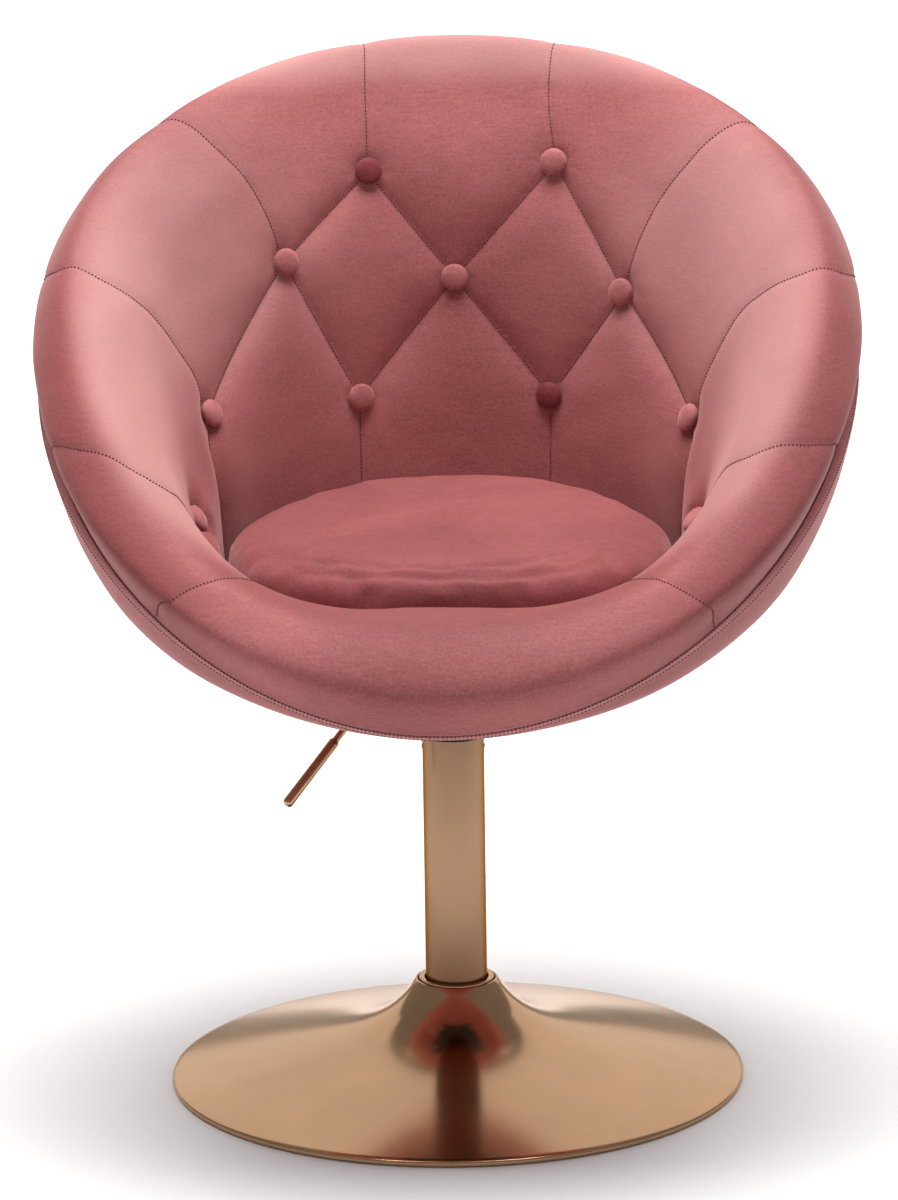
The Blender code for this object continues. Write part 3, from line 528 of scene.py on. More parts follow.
def plywood(name):
    n = Nodes(name)
    plies = n.add("ShaderNodeTexWave", wave_type="BANDS", bands_direction="Z")
    fill_inputs(plies, Scale=160.0)
    n.link(n.place(), plies.inputs["Vector"])
    grain = n.noise(n.place((6, 120, 60)), 1.0, 5.0, 0.6)
    wood = n.ramp(grain, [(0.3, (0.36, 0.22, 0.11)), (0.7, (0.60, 0.43, 0.25))])
    colour = n.mix(n.math("MULTIPLY", plies.outputs["Fac"], 0.35), wood, (0.30, 0.18, 0.09))
    fill_inputs(n.shader, Roughness=0.7)
    return n.finish(colour, n.bump(grain, 0.0002, 0.4))


def foam(name):
    n = Nodes(name)
    cells = n.noise(n.place(), 900.0, 2.0)
    fill_inputs(n.shader, Roughness=0.95)
    colour = n.ramp(cells, [(0.3, (0.62, 0.56, 0.38)), (0.7, (0.80, 0.74, 0.56))])
    return n.finish(colour, n.bump(cells, 0.0006, 0.8))


def sewing_thread(name):
    n = Nodes(name)
    twist = n.noise(n.place(), 2200.0, 1.0)
    colour = n.ramp(twist, [(0.3, (0.085, 0.018, 0.022)), (0.7, (0.16, 0.040, 0.044))])
    fill_inputs(n.shader, Roughness=0.7)
    n.link(colour, n.shader.inputs["Base Color"])
    return n.material


# The main velvet carries the painted highlight and the painted shade.
velvet_main = velvet("velvet", VELVET_DARK, VELVET_LIGHT, sheen=0.4, painted_light_areas=True)
velvet_seat = velvet("velvet_seat", SEAT_DARK, SEAT_LIGHT, 3.7, 8.0, 0.35)
velvet_shell = velvet("velvet_shell", VELVET_DARK, VELVET_LIGHT, 8.1, 5.0, 0.5)
button_light = velvet("velvet_button_light", (0.27, 0.075, 0.078), (0.44, 0.145, 0.145), 1.9, 60.0, 0.5)
# A darker copy of the button velvet: painted shade for the buttons whose nap catches less light.
button_painted_shade = velvet("velvet_button_painted_shade", (0.135, 0.020, 0.026), (0.225, 0.042, 0.048), 5.3, 60.0, 0.1)
gold_base = spun_metal("rose_gold_base", ROSE_GOLD, (1.0, 0.9, 0.8), 0.15, 900.0, 0.15, "reach")
# The tube's darker colour and brown edge tint are painted shade that darkens its reflections.
gold_tube_in_painted_shade = spun_metal("rose_gold_tube_painted_shade", TUBE_GOLD_IN_PAINTED_SHADE, (0.45, 0.30, 0.19), 0.24, 1500.0, 0.35, "z")
gold_plain = plain_finish("rose_gold_plain", ROSE_GOLD, 0.22)
zinc = plain_finish("zinc_steel", (0.60, 0.60, 0.58), 0.36)
black_paint = plain_finish("black_steel", (0.022, 0.022, 0.024), 0.48, 420.0, 0.0002, 0.0)
iron = plain_finish("cast_iron", (0.045, 0.044, 0.043), 0.75, 260.0, 0.0006, 0.3)
nylon = plain_finish("nylon", (0.030, 0.030, 0.032), 0.42, 300.0, 0.00008, 0.0)
rubber = plain_finish("rubber", (0.018, 0.018, 0.018), 0.78, 500.0, 0.00015, 0.0)
thread = sewing_thread("thread")
SLOT_MATERIALS = {
    "velvet": velvet_main, "rose_gold": gold_plain, "zinc_steel": zinc, "black_steel": black_paint,
    "cast_iron": iron, "nylon": nylon, "rubber": rubber, "plywood": plywood("plywood"), "foam": foam("foam"),
}


def paint_cad_nodes():
    """Every CAD node gets the finish of its record slot; the ones that show best are replaced later."""
    for entry in frame["record"]["subparts"]:
        mesh = frame["nodes"][entry["node"]].data
        mesh.materials.clear()
        mesh.materials.append(SLOT_MATERIALS[entry["material_slot"]])
        mesh.shade_smooth()
        mesh.set_sharp_from_angle(angle=math.radians(SMOOTH_ANGLE))


# ---- the tufted cover ---------------------------------------------------
def smooth_run(stops, share):
    """A point of the Catmull-Rom curve through the stops, share from 0 to 1."""
    stops = np.asarray(stops, float)
    padded = np.vstack([2 * stops[0] - stops[1], stops, 2 * stops[-1] - stops[-2]])
    at = share * (len(stops) - 1)
    i = np.minimum(at.astype(int), len(stops) - 2)
    u = (at - i)[:, None]
    return catmull_rom(*(padded[i + k] for k in range(4)), u)


def straight_run(first, second):
    """Stops of the straight line between two buttons, laid on the surface."""
    ends = [surface(INNER_RINGS, from_back(angle), place) for angle, place in (first, second)]
    chord = ends[0] + np.linspace(0, 1, 14)[:, None] * (ends[1] - ends[0])
    angle = np.arctan2(chord[:, 0], -chord[:, 1]) % (2 * math.pi)
    places = np.linspace(3, 6, 1501)
    away = np.linalg.norm(surface(INNER_RINGS, angle[:, None], places[None, :]) - chord[:, None], axis=2)
    return np.stack([angle, places[np.argmin(away, axis=1)]], -1)


def sample_line(stops, spacing=0.0015):
    """Evenly spaced (angle, place) samples of a run of stops."""
    fine = smooth_run(stops, np.linspace(0, 1, 400))
    points = surface(INNER_RINGS, fine[:, 0], fine[:, 1])
    lengths = line_lengths(points)
    even = np.linspace(0, lengths[-1], max(4, int(lengths[-1] / spacing)))
    return np.stack([np.interp(even, lengths, fine[:, k]) for k in range(2)], -1)


def line_lengths(points):
    steps = np.linalg.norm(np.diff(points, axis=0), axis=1)
    return np.concatenate([[0], np.cumsum(steps)])


def cover_lines():
    """The sewn lines by kind, each as samples."""
    return {
        "roll": [sample_line(stops_of(run)) for run in ROLL_SEAMS],
        "tuft": [sample_line(straight_run(BUTTONS[a], BUTTONS[b])) for a, b in TUFT_LINES],
        "drop": [sample_line(stops_of(run)) for run in DROP_SEAMS],
    }


def stops_of(run):
    return [(from_back(angle), place) for angle, place in run]


def smoothstep(value, low, high):
    t = np.clip((value - low) / (high - low), 0, 1)
    return t * t * (3 - 2 * t)


def wave_noise(points, scale, seed, octaves=3):
    """Smooth repeatable noise from a few turned sine waves, about -1 to 1."""
    generator = np.random.default_rng(seed)
    total = np.zeros(len(points))
    weight = 0.0
    for octave in range(octaves):
        gain = 0.6**octave
        for _ in range(5):
            direction = unit(generator.normal(size=3))
            phase = generator.uniform(0, 2 * math.pi)
            stretch = generator.uniform(0.7, 1.4) * 2 * math.pi / scale * 1.9**octave
            total += gain * np.sin(points @ direction * stretch + phase)
        weight += gain * 2.2
    return total / weight


def distance_to(lines, points):
    """Distance from each point to the nearest of some lines, and the length along that line."""
    samples = [surface(INNER_RINGS, line[:, 0], line[:, 1]) for line in lines]
    along = np.concatenate([line_lengths(line) for line in samples])
    samples = np.concatenate(samples)
    tree = kdtree.KDTree(len(samples))
    for i, sample in enumerate(samples):
        tree.insert(sample, i)
    tree.balance()
    found = [tree.find(point) for point in points]
    return np.array([f[2] for f in found]), along[[f[1] for f in found]]


def button_centres():
    return np.array([surface(INNER_RINGS, from_back(a), s) for a, s in BUTTONS.values()])


def blown_up(points, full, pull, rounds=420):
    """How far a padded skin rises: blown up to full everywhere, and held down where pull is large.

    It is a screened membrane on the grid, relaxed until it settles.
    """
    around_step = np.linalg.norm(np.roll(points, -1, 0) - points, axis=2)
    along_step = np.linalg.norm(np.diff(points, axis=1), axis=2)
    right = 1 / np.maximum(around_step, 1e-4) ** 2
    left = np.roll(right, 1, 0)
    up = np.zeros(full.shape)
    up[:, :-1] = 1 / along_step**2
    down = np.zeros(full.shape)
    down[:, 1:] = up[:, :-1]
    screen = 1 / TUFT_REACH**2
    total = right + left + up + down + screen + pull
    height = full.copy()
    for _ in range(rounds):
        above = np.zeros(full.shape)
        above[:, :-1] = up[:, :-1] * height[:, 1:]
        above[:, 1:] += down[:, 1:] * height[:, :-1]
        sides = right * np.roll(height, -1, 0) + left * np.roll(height, 1, 0)
        height = (above + sides + screen * full) / total
    return height


def cover_height(grid, place, lines):
    """How far the cover stands off the CAD surface at each point of the grid."""
    points, flat_place = grid.reshape(-1, 3), place.ravel()
    tuft, tuft_along = distance_to(lines["tuft"] + lines["drop"], points)
    roll, roll_along = distance_to(lines["roll"], points)
    pull = LINE_PULL * np.exp(-((tuft / LINE_WIDTH) ** 2)) * smoothstep(flat_place, 0, 0.5)
    for centre in button_centres():
        away = np.linalg.norm(points - centre, axis=1)
        pull += BUTTON_PULL * smoothstep(BUTTON_HOLD - away, 0, 0.004)
    inside = smoothstep(flat_place, 2.9, 4.3) * (1 - 0.75 * smoothstep(flat_place, 5.2, 6.0))
    turned_in = smoothstep(flat_place, 1.9, 2.9) * (1 - smoothstep(flat_place, 3.0, 4.2))
    sideways = (points[:, 0] / np.linalg.norm(points[:, :2], axis=1)) ** 2
    full = TUFT_PUFF * inside + ROLL_PUFF * turned_in * sideways
    height = blown_up(grid, full.reshape(place.shape), pull.reshape(place.shape)).ravel()

    rim = smoothstep(flat_place, 0.0, 0.35)
    height -= rim * (0.0009 * np.exp(-roll / 0.0030) + 0.0011 * np.exp(-roll / 0.014))
    height -= 0.0011 * np.exp(-((tuft / 0.0020) ** 2))
    height += 0.0006 * (1 - np.exp(-flat_place / 0.2))
    for distance, along, size in ((roll, roll_along, 0.00012), (tuft, tuft_along, 0.00018)):
        ripple = np.sin(along / 0.0026 + 2.0 * np.sin(along / 0.019))
        height += rim * size * np.exp(-distance / 0.006) * smoothstep(distance, 0.0012, 0.004) * ripple
    height += button_wrinkles(points)
    height += rim * 0.0006 * wave_noise(points, 0.13, 4)
    height += rim * 0.00006 * wave_noise(points, 0.028, 9)
    return height.reshape(place.shape)


def button_wrinkles(points):
    """Short creases that run out from each button."""
    total = np.zeros(len(points))
    for number, centre in enumerate(button_centres()):
        away = np.linalg.norm(points - centre, axis=1)
        near = away < 0.07
        offset = points[near] - centre
        turn = np.arctan2(offset[:, 2], offset @ np.array([math.cos(0.3), math.sin(0.3), 0.0]))
        wrinkle = np.sin(turn * 7 + 1.8 * np.sin(turn * 2 + number))
        size = 0.0003 * np.exp(-away[near] / 0.014) * smoothstep(away[near], 0.009, 0.017)
        total[near] += size * wrinkle
    return total


def span_places():
    places = []
    for i, steps in enumerate(SPAN_STEPS.values()):
        places += list(i + np.arange(steps) / steps)
    return np.array(places + [float(len(INNER_RINGS) - 1)])


class Cover:
    """The grid of the padded cover, with its height off the CAD surface."""

    def __init__(self, lines):
        self.places = span_places()
        self.angles = np.linspace(0, 2 * math.pi, GRID_AROUND, endpoint=False)
        self.angle, self.place = np.meshgrid(self.angles, self.places, indexing="ij")
        self.base = surface(INNER_RINGS, self.angle, self.place)
        self.normals = surface_normals(INNER_RINGS, self.angle, self.place)
        self.height = cover_height(self.base, self.place, lines)

    def face(self):
        return self.base + self.normals * self.height[..., None]

    def on_face(self, samples, lift=0.0):
        """Points and normals on the finished face for (angle, place) samples."""
        rows = (samples[:, 0] % (2 * math.pi)) / (2 * math.pi) * GRID_AROUND
        columns = np.interp(samples[:, 1], self.places, np.arange(len(self.places)))
        i, j = rows.astype(int) % GRID_AROUND, np.minimum(columns.astype(int), len(self.places) - 2)
        u, v = rows - np.floor(rows), columns - j
        k = (i + 1) % GRID_AROUND
        low = self.height[i, j] * (1 - u) + self.height[k, j] * u
        high = self.height[i, j + 1] * (1 - u) + self.height[k, j + 1] * u
        height = low * (1 - v) + high * v + lift
        normals = surface_normals(INNER_RINGS, samples[:, 0], samples[:, 1])
        return surface(INNER_RINGS, samples[:, 0], samples[:, 1]) + normals * height[:, None], normals


def make_cover(cover):
    """The padded cover of the roll, walls and backrest, closed behind against the shell."""
    hidden = np.linspace(4.0, 0.0, 10)
    behind = surface(OUTER_RINGS, cover.angles[:, None], hidden[None, :])
    behind_normals = surface_normals(OUTER_RINGS, *np.meshgrid(cover.angles, hidden, indexing="ij"))
    behind = behind + behind_normals * (SHELL_THICK + 0.001)
    columns = np.concatenate([cover.face(), behind], axis=1)
    faces = grid_faces(GRID_AROUND, columns.shape[1], True, True)
    return new_piece("padded_cover", columns.reshape(-1, 3), faces, velvet_main)


# ---- stitches -----------------------------------------------------------
def stitch_row(name, points, normals):
    """A row of thread stitches along a line of points."""
    lengths = line_lengths(points)
    stations, sides, radius = 5, 5, STITCH_RADIUS
    vertices, faces = [], []
    for i in range(int(lengths[-1] / STITCH_PITCH)):
        marks = (i + 0.17 + np.linspace(0, STITCH_SHARE, stations)) * STITCH_PITCH
        middle = np.stack([np.interp(marks, lengths, points[:, k]) for k in range(3)], -1)
        up = unit(np.stack([np.interp(marks, lengths, normals[:, k]) for k in range(3)], -1))
        arch = np.sin(np.linspace(0, math.pi, stations))
        middle = middle + up * (arch * radius * 1.3 - radius * 0.7)[:, None]
        along = unit(np.gradient(middle, axis=0))
        side = unit(np.cross(along, up))
        over = np.cross(side, along)
        thickness = radius * (0.55 + 0.45 * arch)
        first = len(vertices)
        for k in range(stations):
            vertices += hoop(middle[k], side[k], over[k], thickness[k], sides)
        for k in range(stations - 1):
            for j in range(sides):
                m = (j + 1) % sides
                a = first + k * sides
                faces.append((a + j, a + m, a + sides + m, a + sides + j))
        faces.append(tuple(first + j for j in reversed(range(sides))))
        faces.append(tuple(first + (stations - 1) * sides + j for j in range(sides)))
    return new_piece(name, vertices, faces, thread)


def cover_stitches(cover, lines):
    """Stitches along the cover's sewn lines, left out under the buttons."""
    pieces = []
    centres = button_centres()
    for kind, samples_of_kind in lines.items():
        for number, samples in enumerate(samples_of_kind, 1):
            points, normals = cover.on_face(samples, 0.0002)
            clear = np.min(np.linalg.norm(points[:, None] - centres[None], axis=2), axis=1) > BUTTON_RADIUS
            clear &= samples[:, 1] > 0.04
            name = f"{kind}_stitches_{number}"
            pieces.append(stitch_row(name, points[clear], normals[clear]))
    return pieces


# ---- shell and its edge -------------------------------------------------
def make_shell():
    """The bowl's outer shell, with velvet drawn over it."""
    sides = 360
    angles = np.linspace(0, 2 * math.pi, sides, endpoint=False)
    places = np.linspace(0, 5, 61)
    angle, place = np.meshgrid(angles, places, indexing="ij")
    outside = surface(OUTER_RINGS, angle, place)
    normals = surface_normals(OUTER_RINGS, angle, place)
    flat = outside.reshape(-1, 3)
    ripple = 0.0006 * wave_noise(flat, 0.16, 21, 2).reshape(place.shape) * smoothstep(place, 0.2, 1.0)
    outside = outside - normals * ripple[..., None]
    outside[:, -1, 2] = SHELL_FLOOR
    behind = np.linspace(5, 0, 14)
    inside = surface(OUTER_RINGS, angles[:, None], behind[None, :])
    inside = inside + SHELL_THICK * surface_normals(OUTER_RINGS, *np.meshgrid(angles, behind, indexing="ij"))
    inside[:, 0, 2] = SHELL_FLOOR + SHELL_THICK
    columns = np.concatenate([outside, inside], axis=1)
    count, floor_column = columns.shape[1], len(places) - 1
    faces = [f for f in grid_faces(sides, count, True, True) if f[0] % count != floor_column]
    middle = sides * count
    for i in range(sides):
        here, following = i * count + floor_column, (i + 1) % sides * count + floor_column
        faces.append((here, following, middle))
        faces.append((following + 1, here + 1, middle + 1))
    floor_middles = [[0, 0, SHELL_FLOOR], [0, 0, SHELL_FLOOR + SHELL_THICK]]
    vertices = np.concatenate([columns.reshape(-1, 3), floor_middles])
    return new_piece("velvet_shell", vertices, faces, velvet_shell)


def edge_line(distance):
    """A closed line on the shell's outer face, this far below the seam, and its normals off the shell."""
    angles = np.linspace(0, 2 * math.pi, 720, endpoint=True)
    places = np.linspace(0, 2, 81)
    grid = surface(OUTER_RINGS, angles[:, None], places[None, :])
    steps = np.linalg.norm(np.diff(grid, axis=1), axis=2)
    lengths = np.concatenate([np.zeros((len(angles), 1)), np.cumsum(steps, axis=1)], axis=1)
    place = np.array([np.interp(distance, lengths[i], places) for i in range(len(angles))])
    return surface(OUTER_RINGS, angles, place), -surface_normals(OUTER_RINGS, angles, place)


def make_binding():
    """The flat sewn band at the top of the shell, with soft edges."""
    marks = [
        (0.0000, 0.0002), (0.0006, 0.0008), (0.0020, 0.0012), (0.0040, 0.0013), (0.0070, 0.0013),
        (0.0100, 0.0012), (0.0120, 0.0010), (0.0128, 0.0007), (0.0131, 0.0004), (0.0110, 0.0003),
        (0.0060, 0.0003), (0.0012, 0.0001),
    ]
    rows = []
    for distance, height in marks:
        points, normals = edge_line(distance)
        rows.append((points + normals * height)[:-1])
    columns = np.stack(rows, axis=1)
    faces = grid_faces(*columns.shape[:2], True, True)
    return new_piece("sewn_edge_band", columns.reshape(-1, 3), faces, velvet_shell)


# ---- buttons ------------------------------------------------------------
def make_button(node, number):
    angle, place = BUTTONS[node]
    centre = surface(INNER_RINGS, from_back(angle), place)
    normal = surface_normals(INNER_RINGS, np.array([from_back(angle)]), np.array([place]))[0]
    centre = centre + normal * BUTTON_STAND_OFF
    radius, brim = BUTTON_RADIUS, 0.0024
    profile = [(0.0, BUTTON_HEIGHT)]
    for turn in np.linspace(0.12, 1.5, 12):
        crown = (BUTTON_HEIGHT - brim) * math.cos(turn) ** 0.85
        profile.append((radius * math.sin(turn) ** 0.96, brim + crown))
    profile += [(radius, 0.0016), (radius * 0.95, 0.0006), (radius * 0.82, 0.0), (0.0, -0.0012)]
    # The buttons in painted shade get the darker velvet.
    material = button_painted_shade if node in BUTTONS_IN_PAINTED_SHADE else button_light
    button = lathe(f"velvet_button_{number}", profile, material, 40, 80)
    points = np.array([v.co for v in button.data.vertices])
    turn = np.arctan2(points[:, 1], points[:, 0])
    rim = np.hypot(points[:, 0], points[:, 1]) / BUTTON_RADIUS
    gather = 1 + 0.012 * np.sin(turn * 14 + number) * smoothstep(rim, 0.6, 1.0)
    for vertex, scale in zip(button.data.vertices, gather):
        vertex.co.x *= scale
        vertex.co.y *= scale
    tilt = Vector(normal).to_track_quat("Z", "Y").to_matrix().to_4x4()
    button.data.transform(Matrix.Translation(centre) @ tilt)
    return button


# ---- seat cushion -------------------------------------------------------
def simulate_pad(obj):
    """Swells a closed mesh with Blender's cloth, caps how far it moves, and keeps the result in its mesh."""
    before = np.array([v.co for v in obj.data.vertices])
    cloth = obj.modifiers.new("swell", "CLOTH")
    settings = cloth.settings
    settings.quality = 6
    settings.use_pressure = True
    settings.uniform_pressure_force = SEAT_PRESSURE
    settings.shrink_min = SEAT_SHRINK
    settings.tension_stiffness = settings.compression_stiffness = 12
    settings.shear_stiffness = 6
    settings.bending_stiffness = 0.4
    settings.effector_weights.gravity = 0
    settings.vertex_group_mass = "held"
    cloth.point_cache.frame_start, cloth.point_cache.frame_end = 1, SEAT_FRAMES
    scene = bpy.context.scene
    for number in range(1, SEAT_FRAMES + 1):
        scene.frame_set(number)
    swollen = obj.evaluated_get(bpy.context.evaluated_depsgraph_get())
    after = np.array([v.co for v in swollen.to_mesh().vertices])
    swollen.to_mesh_clear()
    obj.modifiers.remove(cloth)
    scene.frame_set(1)
    move = after - before
    size = np.linalg.norm(move, axis=1, keepdims=True)
    move *= np.minimum(1.0, SEAT_CAP / np.maximum(size, 1e-9))
    move[~np.isfinite(move).all(axis=1)] = 0
    obj.data.vertices.foreach_set("co", (before + move).ravel())
    obj.data.update()


def seat_profile(radius, floor, top):
    """The cushion's half section: a gently crowned top, a full round edge and a flat underside."""
    profile = [(radius * share, top - 0.0075 * share**2.4) for share in np.linspace(0, 0.86, 18)]
    start = profile[-1]
    for turn in np.linspace(0.12, 1, 12):
        swing = turn * math.pi / 2
        reach = start[0] + (radius - start[0]) * math.sin(swing)
        profile.append((reach, start[1] - SEAT_EDGE * (1 - math.cos(swing))))
    profile += [(radius, floor + 0.014), (radius - 0.003, floor + 0.005), (radius - 0.010, floor)]
    return profile + [(radius * share, floor) for share in (0.75, 0.5, 0.25)] + [(0.0, floor)]


def make_seat():
    """The round, crowned seat cushion."""
    low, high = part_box("seat_cushion")
    radius, floor, top = high.x - 0.002, low.z + 0.002, high.z - 0.003
    seat = lathe("velvet_seat_cushion", seat_profile(radius, floor, top), velvet_seat, 144, 180)
    remesh = seat.modifiers.new("even", "REMESH")
    remesh.mode = "VOXEL"
    remesh.voxel_size = SEAT_VOXEL
    keep_evaluated(seat)
    hold_below(seat, floor + SEAT_HELD)
    simulate_pad(seat)
    even_out = seat.modifiers.new("even_out", "SMOOTH")
    even_out.factor, even_out.iterations = 0.5, 8
    finer = seat.modifiers.new("finer", "SUBSURF")
    finer.levels = finer.render_levels = 1
    keep_evaluated(seat)
    points = np.array([v.co for v in seat.data.vertices])
    points[:, 2] += seat_creases(points, floor + 0.040)
    towards_back = smoothstep(points[:, 1], 0.02, 0.18)
    points[:, 2] += SEAT_BACK_RISE * towards_back * smoothstep(points[:, 2], floor, top)
    points[:, 1] *= 1 + SEAT_BACK_STRETCH * smoothstep(points[:, 1], 0.0, 0.15)
    seat.data.vertices.foreach_set("co", points.ravel())
    seat.data.shade_smooth()
    return seat


def seat_creases(points, level):
    """Soft folds of the seat cover: a few along the front edge, and a slightly slack surface."""
    top = smoothstep(points[:, 2], level, level + 0.012)
    reach = np.hypot(points[:, 0], points[:, 1])
    angle = np.arctan2(points[:, 0], -points[:, 1])
    folds = np.zeros(len(points))
    for number, (place, width, height, middle, spread) in enumerate(SEAT_FOLDS):
        line = place + 0.0016 * np.sin(angle * 7 + number * 2.1) + 0.0008 * np.sin(angle * 19 + number)
        folds += height * np.exp(-(((reach - line) / width) ** 2) - ((angle - middle) / spread) ** 2)
    flat = points * np.array([1, 1, 0])
    return top * (folds + 0.0006 * wave_noise(flat, 0.12, 31) + 0.00012 * wave_noise(flat, 0.022, 37))


def hold_below(obj, height):
    group = obj.vertex_groups.new(name="held")
    low = [v.index for v in obj.data.vertices if v.co.z < height]
    group.add(low, 1.0, "REPLACE")


def keep_evaluated(obj):
    """Bakes the piece's modifiers into its mesh."""
    bpy.context.view_layer.update()
    graph = bpy.context.evaluated_depsgraph_get()
    mesh = bpy.data.meshes.new_from_object(obj.evaluated_get(graph))
    materials = list(obj.data.materials)
    obj.modifiers.clear()
    obj.data = mesh
    if not mesh.materials:
        for material in materials:
            mesh.materials.append(material)


# ---- metal parts --------------------------------------------------------
def dome_height(radius, edge):
    return DOME_EDGE + DOME_RISE * (1 - (radius / edge) ** DOME_POWER)


def flare_height(radius, edge, neck_height):
    """The base's height: a low dome, with a flare up to the neck."""
    flare = (neck_height - dome_height(NECK_RADIUS, edge)) * np.exp(-(radius - NECK_RADIUS) / FLARE_LENGTH)
    return dome_height(radius, edge) + flare


def make_base_cover():
    """The spun trumpet of the base: a thin sheet with a turned-down rim."""
    _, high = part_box("base_cover")
    edge = high.x
    radii = NECK_RADIUS + (edge - 0.0018 - NECK_RADIUS) * np.linspace(0, 1, 72) ** 1.2
    outside = [(r, flare_height(r, edge, high.z)) for r in radii]
    inner = [(r - SHEET * 0.8, max(z - SHEET, 0.0016)) for r, z in reversed(outside[::4])]
    outside[0] = (NECK_RADIUS - 0.0006, high.z)
    drops = ((0.0008, 0.0049), (0.0002, 0.0041), (0, 0.0032), (0, 0.0014), (0.0004, 0.0012), (0.0018, 0.0012))
    rim = [(edge - back, z) for back, z in drops]
    profile = outside + rim + inner + [(NECK_RADIUS - SHEET, high.z)]
    return lathe("spun_base_cover", profile, gold_base, 240, 40)


def turned(node, name, section, radius, steps, material, sides):
    """A plain turned piece. section gives its corners from the CAD node's outer radius, foot and top."""
    low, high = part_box(node)
    return lathe(name, rounded(section(high.x, low.z, high.z), radius, steps), material, sides, 40)


def column_section(outer, foot, top):
    bore = outer - COLUMN_WALL
    return [(bore, top), (outer, top), (outer, foot), (bore, foot)]


def neck_ring_section(outer, foot, top):
    lip = top - 0.0004
    return [(NECK_RING_BORE, lip), (outer - 0.0008, lip), (outer, foot), (NECK_RING_BORE, foot)]


def floor_ring_section(outer, foot, top):
    return [(FLOOR_RING_BORE, top), (outer, top), (outer, foot), (FLOOR_RING_BORE, foot)]


def cylinder_section(outer, foot, top):
    top_edge = [(CYLINDER_BORE, top), (outer - 0.0008, top), (outer, CYLINDER_SHOULDER)]
    return top_edge + [(outer, foot), (0.012, foot), (0.012, 0.296)]


def lever_route():
    along = unit(GRIP_END - GRIP_START)
    inner = LEVER_BEND + np.array((0.006, 0, 0))
    outer = GRIP_START - along * 0.006
    corner = (LEVER_BEND + GRIP_START - along * 0.034) / 2
    route = [np.array((x, 0, LEVER_BEND[2])) for x in (0.0045, -0.02, -0.045)]
    for t in np.linspace(0, 1, 22):
        route.append(inner * (1 - t) ** 2 + corner * 2 * t * (1 - t) + outer * t**2)
    route.append(GRIP_START + along * 0.045)
    return np.array(route)


def swept(name, route, radii, material, sides=24):
    """A round bar along a route, with a radius at each point."""
    along = unit(np.gradient(route, axis=0))
    vertices = []
    side = unit(np.cross(along[0], (0.0, 1.0, 0.2)))
    for point, direction, radius in zip(route, along, radii):
        side = unit(side - direction * np.dot(side, direction))
        over = np.cross(direction, side)
        vertices += hoop(point, side, over, radius, sides)
    faces = grid_faces(len(route), sides, False, True)
    faces.append(tuple(reversed(range(sides))))
    faces.append(tuple(range((len(route) - 1) * sides, len(route) * sides)))
    obj = new_piece(name, vertices, faces, material)
    weld(obj)
    sharpen(obj, 50)
    return obj


def make_lever():
    """The bent rod, its hub on the pivot pin, and the grip sleeve."""
    route = lever_route()
    rod = swept("lever_bent_rod", route, [ROD_RADIUS] * len(route), gold_plain)
    hub_route = np.array([(-0.035, y, LEVER_BEND[2]) for y in (-0.009, -0.0085, 0.0085, 0.009)])
    hub = swept("lever_hub", hub_route, [0.0052, 0.006, 0.006, 0.0052], zinc)
    length = np.linalg.norm(GRIP_END - GRIP_START)
    from_end = [length - d for d in (0.0030, 0.0018, 0.0008, 0.0002, 0)]
    marks = np.array([0.0, 0.0004, 0.0012, 0.004, 0.03] + from_end)
    radii = [0.0036, 0.0041, 0.0044, 0.0044, 0.0044, 0.0044, 0.0041, 0.0034, 0.0022, 0.0004]
    sleeve = GRIP_START + marks[:, None] * unit(GRIP_END - GRIP_START)
    grip = swept("lever_grip_sleeve", sleeve, radii, gold_plain, 32)
    return rod, hub, grip


def make_bush_screw(number):
    """A small raised-head screw, near the column's top."""
    low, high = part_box(f"bush_screw_{number}")
    sign = 1 if (low.x + high.x) > 0 else -1
    head = [(0.0, 0.0010), (0.0009, 0.00095), (0.0017, 0.0006), (0.0021, 0.0002)]
    head += [(0.0021, -0.001), (0.0, -0.001)]
    screw = lathe(f"bush_screw_head_{number}", head, zinc, 24, 40)
    place = Matrix.Translation((sign * SCREW_REACH, 0, (low.z + high.z) / 2))
    screw.data.transform(place @ Matrix.Rotation(sign * math.pi / 2, 4, "Y"))
    return screw


# ---- stage --------------------------------------------------------------
def make_stage():
    """A wide, plain, pale floor."""
    n = Nodes("pale_floor")
    fill_inputs(n.shader, Base_Color=(0.96, 0.96, 0.96, 1), Roughness=0.9, Specular_IOR_Level=0.1)
    turn = np.linspace(0, 2 * math.pi, 96, endpoint=False)
    vertices = np.stack([30 * np.cos(turn), 30 * np.sin(turn), 0 * turn], -1)
    new_piece("pale_floor", vertices, [tuple(range(96))], n.material, False)


def area_light(name, place, target, size, power, spread):
    data = bpy.data.lights.new(name, "AREA")
    data.shape = "RECTANGLE"
    data.size, data.size_y = size
    data.energy = power
    data.spread = math.radians(spread)
    light = add_object(name, data)
    light.location = place
    light.rotation_euler = (Vector(target) - Vector(place)).to_track_quat("-Z", "Y").to_euler()


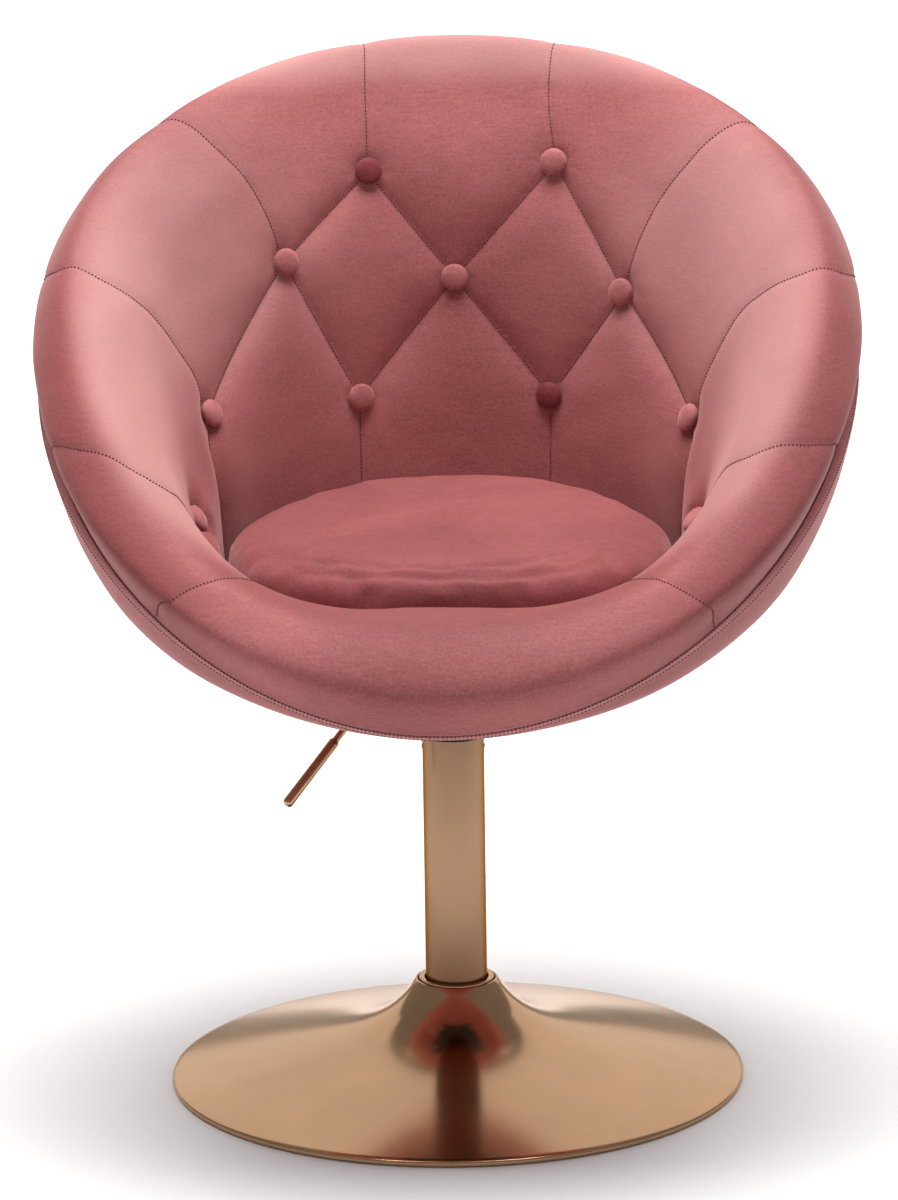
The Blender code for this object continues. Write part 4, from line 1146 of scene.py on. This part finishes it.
def make_light():
    """A soft grey room, a soft box overhead, a pale wall behind, and a light on the floor on either side."""
    world = bpy.data.worlds.new("studio")
    bpy.context.scene.world = world
    world.use_nodes = True
    tree = world.node_tree
    direction = tree.nodes.new("ShaderNodeTexCoord")
    split = tree.nodes.new("ShaderNodeSeparateXYZ")
    grey = tree.nodes.new("ShaderNodeValToRGB")
    grey.color_ramp.elements.new(0.5)
    for element, (position, level) in zip(grey.color_ramp.elements, WORLD_LEVELS):
        element.position = position
        element.color = (level, level, level, 1.0)
    tree.links.new(direction.outputs["Generated"], split.inputs[0])
    tree.links.new(split.outputs["Z"], grey.inputs["Fac"])
    tree.links.new(grey.outputs["Color"], tree.nodes["Background"].inputs["Color"])
    for name, values in LIGHTS.items():
        area_light(name, *values)
    bpy.context.scene.view_settings.view_transform = "Standard"


def make_camera():
    """The photograph's view: from a little above the seat, and a little to the right of the front."""
    data = bpy.data.cameras.new("camera")
    data.sensor_width = 36
    data.lens = CAMERA_LENS
    data.clip_end = 60
    camera = add_object("camera", data)
    turn = math.radians(CAMERA_RIGHT)
    x, y = CAMERA_DISTANCE * math.sin(turn) + CAMERA_SHIFT, -CAMERA_DISTANCE * math.cos(turn)
    yaw = Matrix.Rotation(math.radians(CAMERA_RIGHT + CAMERA_YAW), 4, "Z")
    tip = Matrix.Rotation(math.radians(90 - CAMERA_PITCH), 4, "X")
    roll = Matrix.Rotation(math.radians(CAMERA_ROLL), 4, "Z")
    camera.matrix_world = Matrix.Translation((x, y, CAMERA_HEIGHT)) @ yaw @ tip @ roll
    bpy.context.scene.camera = camera


# ---- assembly -----------------------------------------------------------
def settle(piece, body, slot, *nodes):
    """Puts a finished piece on its body, in place of its CAD nodes; slot is not used."""
    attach(piece, body)
    if nodes:
        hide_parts(*nodes)
    return piece


def build_soft_parts():
    lines = cover_lines()
    cover = Cover(lines)
    padding = settle(make_cover(cover), "seat", "velvet", "inner_upholstery")
    for row in cover_stitches(cover, lines):
        settle(row, "seat", "velvet")
    settle(make_shell(), "seat", "velvet", "bowl_shell")
    settle(make_binding(), "seat", "velvet", "edge_binding")
    for number, (distance, lift) in enumerate(EDGE_STITCHES, 1):
        points, normals = edge_line(distance)
        settle(stitch_row(f"edge_stitches_{number}", points + normals * lift, normals), "seat", "velvet")
    for number, node in enumerate(BUTTONS, 1):
        settle(make_button(node, number), "seat", "velvet", node)
    seat = settle(make_seat(), "seat", "velvet", "seat_cushion")


def build_metal_parts():
    settle(make_base_cover(), "base", "rose_gold", "base_cover")
    for body, slot, node, *shape in (
        ("base", "rose_gold", "column_tube", "column_outer_tube", column_section, 0.0005, 5, gold_tube_in_painted_shade, 144),
        ("base", "rose_gold", "neck_ring", "turned_neck_ring", neck_ring_section, 0.0012, 5, gold_base, 144),
        ("base", "rubber", "floor_ring", "rubber_floor_ring", floor_ring_section, 0.0009, 3, rubber, 192),
        ("seat", "black_steel", "gas_cylinder", "painted_gas_cylinder", cylinder_section, 0.0006, 4,
         black_paint, 96),
    ):
        settle(turned(node, *shape), body, slot, node)
    rod, hub, grip = make_lever()
    settle(rod, "lever", "rose_gold", "lever_rod")
    settle(hub, "lever", "zinc_steel")
    settle(grip, "lever", "rose_gold", "lever_grip")
    for number in (1, 2):
        settle(make_bush_screw(number), "base", "zinc_steel", f"bush_screw_{number}")


paint_cad_nodes()
build_soft_parts()
build_metal_parts()
make_stage()
make_light()
make_camera()
